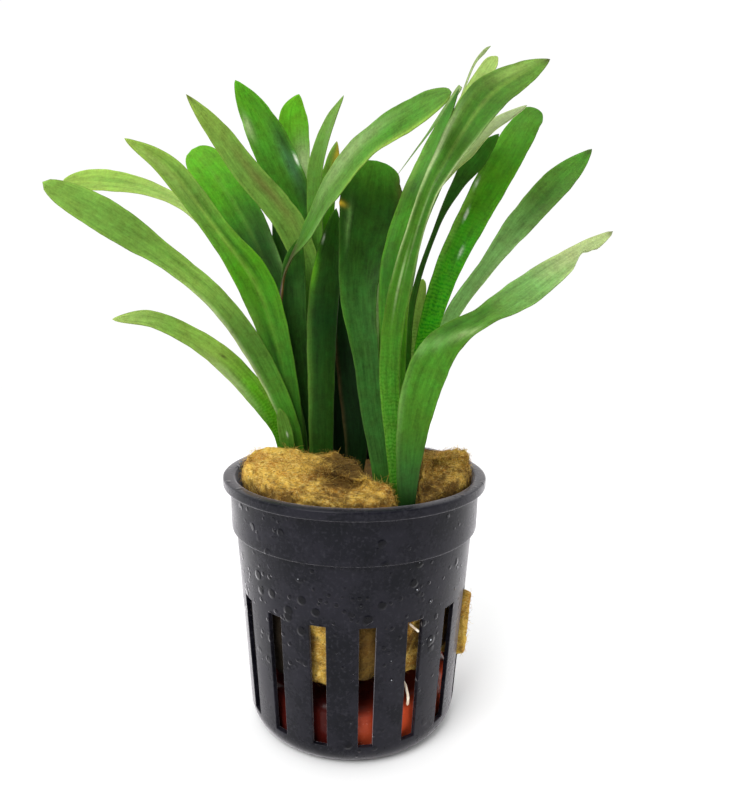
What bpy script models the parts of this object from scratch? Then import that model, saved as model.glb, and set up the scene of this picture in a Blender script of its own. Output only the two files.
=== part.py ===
"""Dwarf sagittaria standing in a slotted net pot, as separate closed solids.

Lengths are written in millimetres and turned into metres by MM. The pot's base
centre is the origin, +Z is up and the viewer stands on the -Y side.
"""
import math

import bmesh
import bpy
from mathutils import Matrix, Vector

MM = 0.001
SHARP_ANGLE = math.radians(40.0)
MERGE_DISTANCE = 0.00001

# Pot
RIM_RADIUS = 27.0
POT_HEIGHT = 52.2
WALL = 0.9
FLOOR = 1.0
BASE_RADIUS = 18.8
WALL_FOOT_RADIUS = 22.0
WALL_FOOT_HEIGHT = 4.3
STEP_HEIGHT = 41.0
WALL_TOP_RADIUS = 24.5
STEP_RISE = 1.0
STEP_RISE_OUTSIDE = 0.6
COLLAR_RADIUS = 25.4
COLLAR_FLARE = 0.2
MOUTH_FLARE = 0.1
MOUTH_DEPTH = 1.2
LIP_DEPTH = 2.0
LIP_ROUND_START = 90.0
LIP_ROUND_END = -60.0
FLOOR_ROUNDING_RISE = 2.0
FLOOR_ROUNDING_INSET = 1.6
POT_SEGMENTS = 48
CORNER_STEPS = 3

# Slots in the wall
SLOT_COUNT = 16
SLOT_WIDTH_TOP = 3.2
SLOT_WIDTH_FOOT = 2.8
SLOT_TOP = 29.2
SLOT_FOOT = 4.3
SLOT_PHASE = math.radians(6.3)
SLOT_PITCH = 2.0 * math.pi / SLOT_COUNT
SLOT_BAR_LENGTH = 67.5
CUTTER_CORE_RADIUS = 10.0
CUTTER_CORE_SHORTER = 0.5

# What fills the pot
CLEARANCE = 0.4
CLAY_HEIGHT = 10.0
CLAY_RADIUS = 20.3
CLAY_HOLE_RADIUS = 6.0
CLAY_SHOULDER = 2.4
CLAY_HOLE_EDGE = 1.0
CLAY_SIDE_DRAFT = 0.2
CLAY_FOOT_RISE = 1.8
CLAY_FOOT_INSET = 2.0
PLUG_FOOT = 14.6
PLUG_TOP = 49.1
PLUG_LEVELS = (PLUG_FOOT, 18.0, 24.0, 31.0, 40.0, PLUG_TOP)
PLUG_FOOT_WAVE = 1.3
PLUG_EDGE_INSET = 0.8
PLUG_LUMP = 0.45
PLUG_LUMP_SPREAD = 0.55
PLUG_SEGMENTS = 36
TONGUE_WIDTH = 2.0
TONGUE_TOP = 28.4
TONGUE_FOOT = 13.6
TONGUE_REACH = 25.2
TONGUE_LEAN = 1.0
TONGUE_START = 13.2
TONGUE_FOOT_RISE = 0.6
TONGUE_START_RISE = 4.5
TONGUE_SLOT = 3

# Leaves
SPAN_STEPS = 3
SHEATH_THICKNESS = 1.1
BLADE_THICKNESS = 0.7
SHEATH_LENGTH_SHARE = 0.35
TIP_WIDTH = 0.5
THICKNESS_PER_WIDTH = 0.6
CROWN_HEIGHT = 49.7
# Corners of a section, in widths across and thicknesses deep
LEAF_SECTION = ((-0.5, 0.0), (-0.25, 0.5), (0.25, 0.5), (0.5, 0.0), (0.25, -0.5), (-0.25, -0.5))

PART_NAME = "potted_dwarf_sagittaria"

# Linear colours, roughness
BLACK_PLASTIC = ((0.018, 0.019, 0.026), 0.38)
CLAY = ((0.42, 0.055, 0.022), 0.3)
ROCK_WOOL = ((0.42, 0.25, 0.06), 0.95)
ROOT = ((0.72, 0.66, 0.52), 0.5)
LEAF_BRIGHT = ((0.12, 0.33, 0.03), 0.42)
LEAF_MIDDLE = ((0.07, 0.23, 0.03), 0.42)
LEAF_DARK = ((0.025, 0.10, 0.018), 0.42)
LEAF_PALE = ((0.20, 0.36, 0.11), 0.45)
LEAF_DRY = ((0.22, 0.24, 0.12), 0.6)

# Each leaf is a list of stations from the crown to the tip:
# x, y, z of the middle of the leaf, its width, and how far it is turned, in
# degrees, from facing the viewer (a positive turn sends its right edge back).
LEAVES = {
    "leaf_far_left": (LEAF_BRIGHT, [
        (-11.8, 1.8, CROWN_HEIGHT, 3.0, 0), (-13.6, 1.6, 61.0, 3.6, 5), (-19.2, -0.2, 74.5, 4.5, 15),
        (-26.4, -4.5, 86.1, 4.6, 30), (-35.0, -5.8, 93.7, 4.8, 32), (-46.0, -8.8, 101.4, 6.8, 30),
        (-55.2, -12.0, 106.8, TIP_WIDTH, 25)]),
    "leaf_left_drooping": (LEAF_PALE, [
        (-13.5, 12.6, CROWN_HEIGHT, 2.6, 0), (-15.0, 14.0, 62.0, 3.6, 0), (-22.0, 16.4, 83.0, 3.6, 10),
        (-34.5, 19.9, 103.5, 2.8, 20), (-46.0, 22.6, 110.7, 3.9, 34), (-60.0, 25.5, 113.3, 6.8, 37),
        (-69.0, 26.5, 112.6, TIP_WIDTH, 30)]),
    "leaf_left_folded": (LEAF_BRIGHT, [
        (-12.0, 3.4, CROWN_HEIGHT, 3.0, 0), (-13.2, 3.1, 62.0, 4.0, 0), (-16.4, 1.8, 78.0, 5.8, 12),
        (-20.6, -0.2, 90.3, 7.6, 24), (-26.5, -2.6, 99.0, 5.3, 28), (-35.0, -5.4, 110.4, 4.8, 30),
        (-42.1, -8.0, 115.3, TIP_WIDTH, 25)]),
    "leaf_left_broad": (LEAF_BRIGHT, [
        (-12.4, 9.2, CROWN_HEIGHT, 3.0, 0), (-12.8, 9.4, 64.0, 3.6, 0), (-16.0, 9.8, 85.5, 5.0, 8),
        (-20.5, 11.0, 96.0, 7.2, 10), (-25.6, 12.6, 105.5, 8.9, 12), (-31.6, 14.4, 114.0, 8.4, 15),
        (-36.0, 15.6, 118.6, 1.5, 15)]),
    "leaf_back_left_red": (LEAF_MIDDLE, [
        (-9.0, 8.4, CROWN_HEIGHT, 2.6, 0), (-9.6, 7.9, 62.0, 3.6, 0), (-9.6, 8.2, 88.0, 4.2, 6),
        (-12.9, 7.9, 99.8, 6.2, 14), (-16.8, 6.8, 105.9, 6.3, 22), (-21.9, 4.8, 111.5, 6.0, 26),
        (-28.0, 2.3, 119.5, 4.5, 27), (-32.9, 0.0, 125.3, TIP_WIDTH, 20)]),
    "leaf_back_left_tall": (LEAF_DARK, [
        (-10.4, 12.2, CROWN_HEIGHT, 2.6, 0), (-10.8, 12.7, 64.0, 3.6, 0), (-10.4, 13.6, 92.0, 4.8, 0),
        (-12.8, 14.1, 106.0, 7.0, 10), (-17.6, 14.6, 116.6, 8.8, 18), (-22.0, 15.2, 125.6, 7.0, 20),
        (-26.5, 16.0, 133.0, TIP_WIDTH, 20)]),
    "leaf_back_bright": (LEAF_BRIGHT, [
        (-8.8, 14.6, CROWN_HEIGHT, 2.6, 0), (-9.2, 15.8, 64.0, 3.4, 0), (-10.9, 17.6, 94.0, 4.0, 0),
        (-13.2, 20.3, 110.5, 5.0, 5), (-14.5, 22.2, 120.8, 6.7, 10), (-14.8, 23.5, 128.0, 6.2, 10),
        (-13.7, 24.5, 133.0, TIP_WIDTH, 10)]),
    "leaf_back_narrow": (LEAF_PALE, [
        (-7.0, 10.6, CROWN_HEIGHT, 2.2, 0), (-7.8, 10.8, 64.0, 2.8, 0), (-8.7, 11.0, 98.0, 3.2, -20),
        (-9.0, 10.9, 108.5, 4.4, -42), (-8.4, 10.7, 115.3, 5.2, -50), (-5.9, 10.3, 123.6, 4.0, -50),
        (-3.2, 10.0, 128.8, TIP_WIDTH, -50)]),
    "leaf_back_short": (LEAF_BRIGHT, [
        (-5.6, 13.0, CROWN_HEIGHT, 2.2, 0), (-6.4, 13.4, 64.0, 2.6, 0), (-7.2, 15.6, 95.0, 2.8, 0),
        (-6.9, 17.2, 110.0, 3.8, 10), (-5.8, 17.2, 116.5, 3.2, 15), (-4.8, 17.2, 121.4, TIP_WIDTH, 15)]),
    "leaf_front_arching": (LEAF_BRIGHT, [
        (-11.0, 5.1, CROWN_HEIGHT, 2.6, 0), (-12.0, 4.9, 62.0, 1.8, 0), (-15.8, 4.3, 78.0, 1.5, -40),
        (-15.4, 3.8, 89.5, 1.4, -64), (-13.4, 2.4, 95.2, 1.4, -62),
        (-10.3, -0.8, 99.2, 4.8, -58), (-5.4, -6.8, 106.6, 6.0, -44),
        (0.9, -12.2, 113.6, 5.9, -32), (9.0, -19.0, 117.7, 5.4, -24), (14.3, -25.0, 119.4, 0.8, -20)]),
    "leaf_centre_left": (LEAF_DARK, [
        (-9.8, 6.8, CROWN_HEIGHT, 3.8, 0), (-10.2, 6.3, 58.0, 4.4, 0), (-12.2, 6.0, 72.0, 5.4, 0),
        (-13.2, 5.6, 84.5, 5.4, 0), (-13.1, 4.8, 93.5, 4.6, 5), (-11.8, 4.0, 99.5, TIP_WIDTH, 5)]),
    "leaf_centre_upright": (LEAF_MIDDLE, [
        (-7.2, 2.2, CROWN_HEIGHT, 4.6, 0), (-7.3, 2.3, 58.0, 5.2, 0), (-7.3, 2.4, 68.0, 5.5, 5),
        (-7.1, 2.1, 82.0, 6.2, 10), (-6.0, 1.1, 93.5, 5.6, 14), (-4.3, 0.0, 105.0, TIP_WIDTH, 15)]),
    "leaf_centre_spoon": (LEAF_DARK, [
        (5.4, -16.2, CROWN_HEIGHT, 3.2, 0), (4.6, -16.1, 58.0, 3.7, 0), (2.8, -15.3, 68.0, 4.1, 0),
        (1.7, -13.9, 77.0, 4.7, 3), (0.2, -11.6, 87.0, 6.6, 8), (0.6, -9.0, 96.5, 8.8, 10),
        (2.2, -6.9, 103.2, 12.4, 10), (3.0, -5.6, 109.5, 9.6, 10), (3.4, -5.2, 113.0, 1.5, 10)]),
    "leaf_right_slender": (LEAF_MIDDLE, [
        (6.2, -13.4, CROWN_HEIGHT, 2.2, 0), (5.8, -13.2, 64.0, 2.6, -6), (5.5, -12.8, 80.0, 2.9, -18),
        (6.1, -11.6, 94.0, 4.0, -36), (9.4, -7.8, 105.5, 4.1, -43), (14.3, -1.6, 116.7, 3.7, -43),
        (19.7, 4.0, 128.9, TIP_WIDTH, -40)]),
    "leaf_right_withered_folded": (LEAF_DRY, [
        (4.6, -10.0, CROWN_HEIGHT, 1.4, 0), (4.1, -6.0, 72.0, 1.6, 0), (4.1, -3.4, 84.0, 1.8, 0),
        (4.3, -1.0, 92.4, 1.6, 0), (6.9, 1.6, 99.4, 0.4, 0), (13.1, 8.5, 116.1, 0.4, 0),
        (18.0, 10.0, 126.0, 0.6, 0), (20.4, 9.3, 130.2, 0.9, 0), (19.6, 7.4, 129.2, 0.9, 0),
        (15.4, 5.0, 122.7, 0.7, 0), (13.0, 4.0, 119.2, 0.4, 0), (7.1, 2.6, 111.1, 0.4, 0)]),
    "leaf_right_withered_tip": (LEAF_DRY, [
        (8.0, -7.6, CROWN_HEIGHT, 1.0, 0), (8.8, -1.0, 75.0, 1.0, 0), (14.3, 6.0, 107.7, 0.6, 0),
        (20.2, 10.2, 126.1, 0.5, 0), (23.3, 11.0, 135.0, 0.5, 0), (25.6, 11.0, 138.2, 0.8, 0),
        (27.0, 11.0, 139.4, 0.5, 0)]),
    "leaf_right_back_pale": (LEAF_BRIGHT, [
        (8.3, -11.2, CROWN_HEIGHT, 2.0, 0), (8.0, -9.0, 66.0, 2.2, 0), (8.2, -6.4, 86.0, 3.0, 0),
        (10.9, -4.0, 100.7, 3.9, -18), (16.3, 1.2, 114.2, 4.5, -18), (21.2, 1.7, 125.1, 4.4, -22),
        (24.9, 2.1, 132.2, 3.2, -25), (26.7, 2.4, 134.4, 0.8, -25)]),
    "leaf_right_top": (LEAF_BRIGHT, [
        (8.0, -18.6, CROWN_HEIGHT, 2.6, 0), (7.2, -18.6, 59.0, 3.0, 0), (5.8, -18.5, 75.0, 3.6, -2),
        (7.2, -18.2, 88.5, 3.8, -8), (11.0, -17.9, 103.0, 3.1, -16), (14.6, -17.6, 110.6, 4.7, -23),
        (21.2, -17.0, 120.6, 7.2, -25), (27.2, -16.4, 125.0, 4.8, -23),
        (31.9, -16.0, 127.7, TIP_WIDTH, -20)]),
    "leaf_right_edge_on": (LEAF_PALE, [
        (7.8, -15.6, CROWN_HEIGHT, 1.0, 0), (8.3, -15.8, 64.0, 1.0, 0), (8.6, -15.4, 87.5, 1.4, -20),
        (11.8, -14.3, 103.5, 1.6, -42), (20.1, -13.0, 114.1, 3.6, -56), (24.6, -12.2, 118.5, 4.0, -57),
        (29.5, -11.6, 121.6, TIP_WIDTH, -50)]),
    "leaf_right_dark": (LEAF_DARK, [
        (9.2, -13.2, CROWN_HEIGHT, 1.7, 0), (9.3, -12.8, 66.0, 1.5, 0), (10.0, -11.6, 86.0, 1.2, 0),
        (14.4, -9.4, 100.6, 1.0, 0), (18.2, -8.4, 108.4, 2.4, -6), (21.6, -7.9, 113.3, 3.9, -8),
        (25.6, -7.6, 117.7, TIP_WIDTH, -8)]),
    "leaf_right_bright": (LEAF_BRIGHT, [
        (9.8, -15.6, CROWN_HEIGHT, 2.2, 0), (10.4, -15.0, 65.0, 2.7, 0), (12.5, -13.8, 80.0, 3.6, -2),
        (16.0, -11.9, 92.0, 4.6, -10), (20.9, -9.6, 102.1, 5.7, -17), (27.0, -6.7, 113.2, 6.5, -21),
        (31.4, -4.5, 120.6, 5.2, -22), (33.9, -3.2, 123.2, 0.8, -20)]),
    "leaf_right_grey": (LEAF_MIDDLE, [
        (11.4, -8.8, CROWN_HEIGHT, 1.8, 0), (13.0, -8.4, 67.0, 1.9, 0), (17.4, -6.6, 83.0, 2.8, -9),
        (25.6, -2.6, 94.4, 3.4, -19), (33.0, 2.0, 103.2, 5.7, -27), (42.0, 7.0, 112.6, 6.1, -28),
        (49.1, 10.0, 119.4, TIP_WIDTH, -25)]),
    "leaf_front_right_twisted": (LEAF_MIDDLE, [
        (9.3, -21.0, CROWN_HEIGHT, 2.6, 0), (9.2, -21.8, 57.2, 4.0, 0), (9.8, -22.6, 65.8, 5.6, 0),
        (11.0, -23.0, 72.6, 6.6, -2), (13.2, -23.3, 78.2, 6.5, -16), (16.6, -23.4, 81.8, 6.2, -50),
        (21.6, -23.1, 84.7, 6.2, -62), (28.0, -22.2, 88.9, 6.2, -40), (35.0, -21.2, 94.0, 4.2, -36),
        (43.1, -20.0, 99.5, TIP_WIDTH, -30)]),
    "leaf_low_left": (LEAF_BRIGHT, [
        (-14.8, 6.0, CROWN_HEIGHT, 2.4, 0), (-16.0, 5.2, 58.5, 3.4, 0), (-19.6, 3.4, 65.6, 4.6, 12),
        (-25.6, 0.8, 73.4, 4.9, 24), (-31.8, -2.0, 78.9, 4.3, 30), (-39.2, -5.2, 82.9, 3.4, 30),
        (-45.6, -8.6, 83.0, TIP_WIDTH, 25)]),
    "leaf_back_left_hidden": (LEAF_DARK, [
        (-12.0, 10.7, CROWN_HEIGHT, 2.4, 0), (-12.8, 11.0, 64.0, 3.4, 0), (-14.6, 12.0, 88.5, 3.9, 0),
        (-16.9, 14.8, 98.5, 3.4, 5), (-19.0, 18.0, 106.0, TIP_WIDTH, 5)]),
    "leaf_right_blunt": (LEAF_PALE, [
        (10.9, -10.9, CROWN_HEIGHT, 1.8, 0), (10.5, -9.8, 65.0, 2.6, 0), (10.4, -8.7, 77.5, 3.4, 0),
        (11.1, -8.4, 86.5, 3.2, 0), (12.3, -8.2, 91.4, 0.9, 0)]),
    "leaf_centre_back": (LEAF_DARK, [
        (0.0, 4.0, CROWN_HEIGHT, 3.6, 0), (0.1, 4.7, 60.0, 5.6, 0), (-1.0, 6.0, 69.2, 5.8, 0),
        (-2.6, 7.8, 83.0, 5.4, 5), (-6.0, 9.0, 104.5, TIP_WIDTH, 5)]),
    "leaf_centre_rear": (LEAF_DARK, [
        (-3.2, 9.0, CROWN_HEIGHT, 2.8, 0), (-2.8, 9.8, 60.0, 5.2, 0), (-2.0, 10.6, 70.0, 7.6, 0),
        (-1.2, 12.2, 84.0, 8.6, -5), (-3.0, 14.0, 95.5, 7.6, -5),
        (-2.6, 16.0, 106.5, TIP_WIDTH, -5)]),
    "leaf_left_stub": (LEAF_DARK, [
        (-13.6, 0.2, CROWN_HEIGHT, 2.6, 0), (-14.2, 0.0, 58.0, 3.0, 0), (-15.0, -0.4, 62.6, 2.5, 0),
        (-15.7, -0.8, 65.2, TIP_WIDTH, 0)]),
}

# Wool chunks: plan outline as x, y, top height at each corner
LEFT_CHUNK = [
    (-21.4, -4.2, 57.0), (-16.5, -1.2, 57.0), (-11.0, -0.9, 56.0), (-5.0, -0.9, 55.8), (-0.5, -4.5, 55.6),
    (1.5, -10.0, 55.4), (2.7, -17.8, 55.4), (6.4, -19.9, 54.6), (6.9, -22.6, 53.4), (1.5, -23.9, 52.6),
    (-5.5, -23.2, 52.8), (-12.5, -20.4, 53.4), (-18.1, -15.1, 54.4), (-21.7, -9.3, 56.0)]
RIGHT_CHUNK = [
    (13.8, -6.0, 55.6), (14.4, 2.0, 54.6), (11.5, 10.0, 53.6), (9.5, 20.5, 52.6), (16.0, 17.5, 52.6),
    (20.6, 11.8, 53.8), (22.8, 4.0, 56.0), (23.5, -3.2, 56.4), (22.8, -6.6, 55.0), (20.8, -10.8, 53.6),
    (17.0, -16.2, 52.8), (11.7, -20.7, 52.4), (12.4, -14.0, 54.6)]
CHUNK_FOOT = 49.7
# Share of the height and how far the outline is drawn in there
CHUNK_RINGS = ((0.0, 0.3), (0.35, -0.25), (0.8, 0.0), (1.0, 1.0))

# White roots that show in the slots
ROOTS = {
    "root_upper": (0.22, [(10.2, -20.4, 28.6), (11.2, -20.3, 27.6), (12.1, -20.1, 26.7)]),
    "root_lower": (0.26, [(9.0, -18.9, 17.0), (9.9, -19.3, 15.4), (10.4, -20.0, 13.4), (10.3, -20.2, 11.8)]),
}


def clear_scene():
    """Remove every object of the open file."""
    for old in list(bpy.data.objects):
        bpy.data.objects.remove(old, do_unlink=True)


def make_collection(name):
    """A collection of that name, linked to the scene."""
    collection = bpy.data.collections.new(name)
    bpy.context.scene.collection.children.link(collection)
    return collection


def make_material(name, look):
    """A Principled BSDF of one colour and roughness."""
    colour, roughness = look
    material = bpy.data.materials.new(name)
    material.use_nodes = True
    shader = material.node_tree.nodes["Principled BSDF"]
    shader.inputs["Base Color"].default_value = (*colour, 1.0)
    shader.inputs["Roughness"].default_value = roughness
    shader.inputs["Metallic"].default_value = 0.0
    material.diffuse_color = (*colour, 1.0)
    return material


def object_from_bmesh(name, shape, collection, material=None):
    """Put a finished bmesh in a new object, shaded smooth."""
    bmesh.ops.recalc_face_normals(shape, faces=shape.faces)
    mesh = bpy.data.meshes.new(name)
    shape.to_mesh(mesh)
    shape.free()
    mesh.shade_smooth()
    mesh.set_sharp_from_angle(angle=SHARP_ANGLE)
    piece = bpy.data.objects.new(name, mesh)
    if material is not None:
        mesh.materials.append(material)
    collection.objects.link(piece)
    return piece


def turned(name, profile, segments, collection, material):
    """Turn an x, z profile in millimetres about the Z axis with a Screw modifier."""
    shape = bmesh.new()
    corners = [shape.verts.new((x * MM, 0.0, z * MM)) for x, z in profile]
    for first, second in zip(corners, corners[1:]):
        shape.edges.new((first, second))
    mesh = bpy.data.meshes.new(name)
    shape.to_mesh(mesh)
    shape.free()
    mesh.materials.append(material)
    piece = bpy.data.objects.new(name, mesh)
    collection.objects.link(piece)
    screw = piece.modifiers.new("Turn", "SCREW")
    screw.axis = "Z"
    screw.angle = 2.0 * math.pi
    screw.steps = segments
    screw.render_steps = segments
    screw.use_merge_vertices = True
    screw.merge_threshold = MERGE_DISTANCE
    screw.use_smooth_shade = True
    return piece


def arc(centre_x, centre_z, radius, start, end, steps):
    """Points on an arc, angles in degrees from +X towards +Z."""
    points = []
    for index in range(steps + 1):
        angle = math.radians(start + (end - start) * index / steps)
        points.append((centre_x + radius * math.cos(angle), centre_z + radius * math.sin(angle)))
    return points


def wall_radius(height):
    """Outer radius of the slotted wall at a height."""
    share = (height - WALL_FOOT_HEIGHT) / (STEP_HEIGHT - WALL_FOOT_HEIGHT)
    return WALL_FOOT_RADIUS + (WALL_TOP_RADIUS - WALL_FOOT_RADIUS) * share


def pot_profile():
    """Inside of the pot from the floor's centre up, then the outside from the lip down."""
    rounded = FLOOR + FLOOR_ROUNDING_RISE
    inner_foot = wall_radius(rounded) - WALL
    inside = [(0.0, FLOOR), (inner_foot - FLOOR_ROUNDING_INSET, FLOOR), (inner_foot, rounded)]
    inside += [(wall_radius(STEP_HEIGHT) - WALL, STEP_HEIGHT)]
    inside += [(COLLAR_RADIUS - WALL, STEP_HEIGHT + STEP_RISE)]
    inside += [(COLLAR_RADIUS - WALL + MOUTH_FLARE, POT_HEIGHT - MOUTH_DEPTH)]
    lip_radius = 0.5 * LIP_DEPTH
    lip_middle = POT_HEIGHT - lip_radius
    lip = [(COLLAR_RADIUS - MOUTH_FLARE, POT_HEIGHT - MOUTH_FLARE)]
    lip += arc(RIM_RADIUS - lip_radius, lip_middle, lip_radius, LIP_ROUND_START, LIP_ROUND_END, CORNER_STEPS)
    outside = [(COLLAR_RADIUS + COLLAR_FLARE, POT_HEIGHT - LIP_DEPTH)]
    outside += [(COLLAR_RADIUS, STEP_HEIGHT + STEP_RISE_OUTSIDE)]
    outside += [(WALL_TOP_RADIUS, STEP_HEIGHT), (wall_radius(WALL_FOOT_HEIGHT), WALL_FOOT_HEIGHT)]
    corner = wall_radius(WALL_FOOT_HEIGHT) - BASE_RADIUS
    foot = []
    for index in range(1, CORNER_STEPS + 1):
        angle = 0.5 * math.pi * index / CORNER_STEPS
        foot.append((BASE_RADIUS + corner * math.cos(angle), WALL_FOOT_HEIGHT * (1.0 - math.sin(angle))))
    return inside + lip + outside + foot + [(0.0, 0.0)]


def slot_cutter(collection):
    """Tapered bars through the axis: each bar cuts two slots that face each other."""
    shape = bmesh.new()
    height = SLOT_TOP - SLOT_FOOT
    for index in range(SLOT_COUNT // 2):
        bar = bmesh.ops.create_cube(shape, size=1.0)["verts"]
        for corner in bar:
            upper = corner.co.z > 0.0
            width = SLOT_WIDTH_TOP if upper else SLOT_WIDTH_FOOT
            corner.co = Vector((
                corner.co.x * width,
                corner.co.y * SLOT_BAR_LENGTH,
                SLOT_FOOT + (height if upper else 0.0)))
            corner.co *= MM
        bmesh.ops.rotate(
            shape, verts=bar, cent=(0.0, 0.0, 0.0),
            matrix=Matrix.Rotation(SLOT_PHASE + SLOT_PITCH * index, 3, "Z"))
    cutter = object_from_bmesh("slot_cutter", shape, collection)
    union = cutter.modifiers.new("Join bars", "BOOLEAN")
    union.operation = "UNION"
    union.use_self = True
    union.object = cutter_core(collection)
    cutter.hide_render = True
    cutter.display_type = "WIRE"
    return cutter


def cutter_core(collection):
    """A drum at the axis that lets the crossing bars join into one clean cutter."""
    shape = bmesh.new()
    bmesh.ops.create_cone(
        shape, cap_ends=True, segments=SLOT_COUNT, radius1=CUTTER_CORE_RADIUS * MM,
        radius2=CUTTER_CORE_RADIUS * MM, depth=(SLOT_TOP - SLOT_FOOT - CUTTER_CORE_SHORTER) * MM)
    bmesh.ops.translate(shape, verts=shape.verts, vec=(0.0, 0.0, 0.5 * (SLOT_TOP + SLOT_FOOT) * MM))
    core = object_from_bmesh("slot_cutter_core", shape, collection)
    core.hide_render = True
    core.display_type = "WIRE"
    return core


def make_pot(parts, cutters):
    """The net pot: one turned wall with a rolled lip, cut by the slots."""
    material = make_material("black plastic", BLACK_PLASTIC)
    pot = turned("net_pot", pot_profile(), POT_SEGMENTS, parts, material)
    cut = pot.modifiers.new("Slots", "BOOLEAN")
    cut.operation = "DIFFERENCE"
    cut.object = slot_cutter(cutters)


def make_clay(parts):
    """The fired clay ring that weighs the pot down."""
    material = make_material("wet clay", CLAY)
    foot = FLOOR + CLEARANCE
    top = foot + CLAY_HEIGHT
    profile = [(CLAY_HOLE_RADIUS, top - CLAY_HOLE_EDGE), (CLAY_HOLE_RADIUS + CLAY_HOLE_EDGE, top)]
    profile += arc(CLAY_RADIUS - CLAY_SHOULDER, top - CLAY_SHOULDER, CLAY_SHOULDER, 90.0, 0.0, CORNER_STEPS)
    profile += [(CLAY_RADIUS - CLAY_SIDE_DRAFT, foot + CLAY_FOOT_RISE), (CLAY_RADIUS - CLAY_FOOT_INSET, foot)]
    profile += [(CLAY_HOLE_RADIUS, foot), (CLAY_HOLE_RADIUS, top - CLAY_HOLE_EDGE)]
    turned("clay_ring", profile, POT_SEGMENTS // 2, parts, material)


def plug_radius(angle, height):
    """Outline of the wool inside the wall, with shallow lumps."""
    lump = math.sin(3.0 * angle + 0.21 * height) + 0.6 * math.sin(7.0 * angle - 0.4 * height)
    return wall_radius(height) - WALL - CLEARANCE - PLUG_LUMP * (1.0 + PLUG_LUMP_SPREAD * lump)


def make_plug(parts, material):
    """The wool under the chunks, with the tongue that has pushed out through one slot."""
    shape = bmesh.new()
    rings = []
    for level in PLUG_LEVELS:
        ring = []
        for index in range(PLUG_SEGMENTS):
            angle = 2.0 * math.pi * index / PLUG_SEGMENTS
            radius = plug_radius(angle, min(level, STEP_HEIGHT))
            height = level
            if level == PLUG_FOOT:
                height += PLUG_FOOT_WAVE * (1.0 + math.sin(2.0 * angle + 0.4))
            if level in (PLUG_FOOT, PLUG_TOP):
                radius -= PLUG_EDGE_INSET
            ring.append(shape.verts.new((
                radius * math.sin(angle) * MM, -radius * math.cos(angle) * MM, height * MM)))
        rings.append(ring)
    for lower, upper in zip(rings, rings[1:]):
        bridge(shape, lower, upper)
    shape.faces.new(rings[0][::-1])
    shape.faces.new(rings[-1])
    plug = object_from_bmesh("wool_plug", shape, parts, material)
    join = plug.modifiers.new("Tongue", "BOOLEAN")
    join.operation = "UNION"
    join.object = make_tongue(bpy.data.collections["cutters"])


def make_tongue(collection):
    """A slab of wool that reaches from inside the plug out through the slot."""
    shape = bmesh.new()
    slab = bmesh.ops.create_cube(shape, size=1.0)["verts"]
    for corner in slab:
        outer = corner.co.y < 0.0
        upper = corner.co.z > 0.0
        reach = TONGUE_REACH if upper else TONGUE_REACH - TONGUE_LEAN
        foot = TONGUE_FOOT + (TONGUE_FOOT_RISE if outer else TONGUE_START_RISE)
        corner.co = Vector((
            corner.co.x * TONGUE_WIDTH,
            -(reach if outer else TONGUE_START),
            TONGUE_TOP if upper else foot))
        corner.co *= MM
    turn = SLOT_PHASE + SLOT_PITCH * TONGUE_SLOT
    bmesh.ops.rotate(shape, verts=slab, cent=(0.0, 0.0, 0.0), matrix=Matrix.Rotation(turn, 3, "Z"))
    tongue = object_from_bmesh("tongue_shape", shape, collection)
    tongue.hide_render = True
    tongue.display_type = "WIRE"
    return tongue


def bridge(shape, lower, upper):
    """Quads between two rings with the same number of corners."""
    count = len(lower)
    for index in range(count):
        after = (index + 1) % count
        shape.faces.new((lower[index], lower[after], upper[after], upper[index]))


def make_chunk(name, outline, parts, material):
    """A torn chunk of wool: its plan outline raised to the height at each corner."""
    shape = bmesh.new()
    middle_x = sum(x for x, _, _ in outline) / len(outline)
    middle_y = sum(y for _, y, _ in outline) / len(outline)
    rings = []
    for share, inset in CHUNK_RINGS:
        ring = []
        for x, y, top in outline:
            away = Vector((x - middle_x, y - middle_y))
            away.normalize()
            ring.append(shape.verts.new((
                (x - inset * away.x) * MM,
                (y - inset * away.y) * MM,
                (CHUNK_FOOT + (top - CHUNK_FOOT) * share) * MM)))
        rings.append(ring)
    for lower, upper in zip(rings, rings[1:]):
        bridge(shape, lower, upper)
    shape.faces.new(rings[0][::-1])
    shape.faces.new(rings[-1])
    bmesh.ops.triangulate(shape, faces=shape.faces)
    object_from_bmesh(name, shape, parts, material)


def smooth_route(stations, steps):
    """Catmull-Rom curve through the stations, every value eased the same way."""
    points = [Vector(station) for station in stations]
    padded = [2.0 * points[0] - points[1]] + points + [2.0 * points[-1] - points[-2]]
    route = []
    for index in range(1, len(padded) - 2):
        before, start, end, after = padded[index - 1:index + 3]
        for step in range(steps):
            t = step / steps
            route.append(0.5 * (
                2.0 * start + (end - before) * t
                + (2.0 * before - 5.0 * start + 4.0 * end - after) * t * t
                + (3.0 * start - before - 3.0 * end + after) * t * t * t))
    route.append(points[-1])
    return route


def leaf_sections(stations):
    """Middle, width direction, width and front direction of the leaf along its route."""
    places = smooth_route([station[:3] for station in stations], SPAN_STEPS)
    shapes = smooth_route([(station[3], station[4], 0.0) for station in stations], SPAN_STEPS)
    sections = []
    for index, (place, shape) in enumerate(zip(places, shapes)):
        before = places[max(index - 1, 0)]
        after = places[min(index + 1, len(places) - 1)]
        along = (after - before).normalized()
        across = Vector((0.0, 1.0, 0.0)).cross(along).normalized()
        back = along.cross(across)
        turn = math.radians(shape[1])
        side = across * math.cos(turn) + back * math.sin(turn)
        front = side.cross(along)
        sections.append((place, side, front.normalized(), max(shape[0], TIP_WIDTH)))
    return sections


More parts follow.
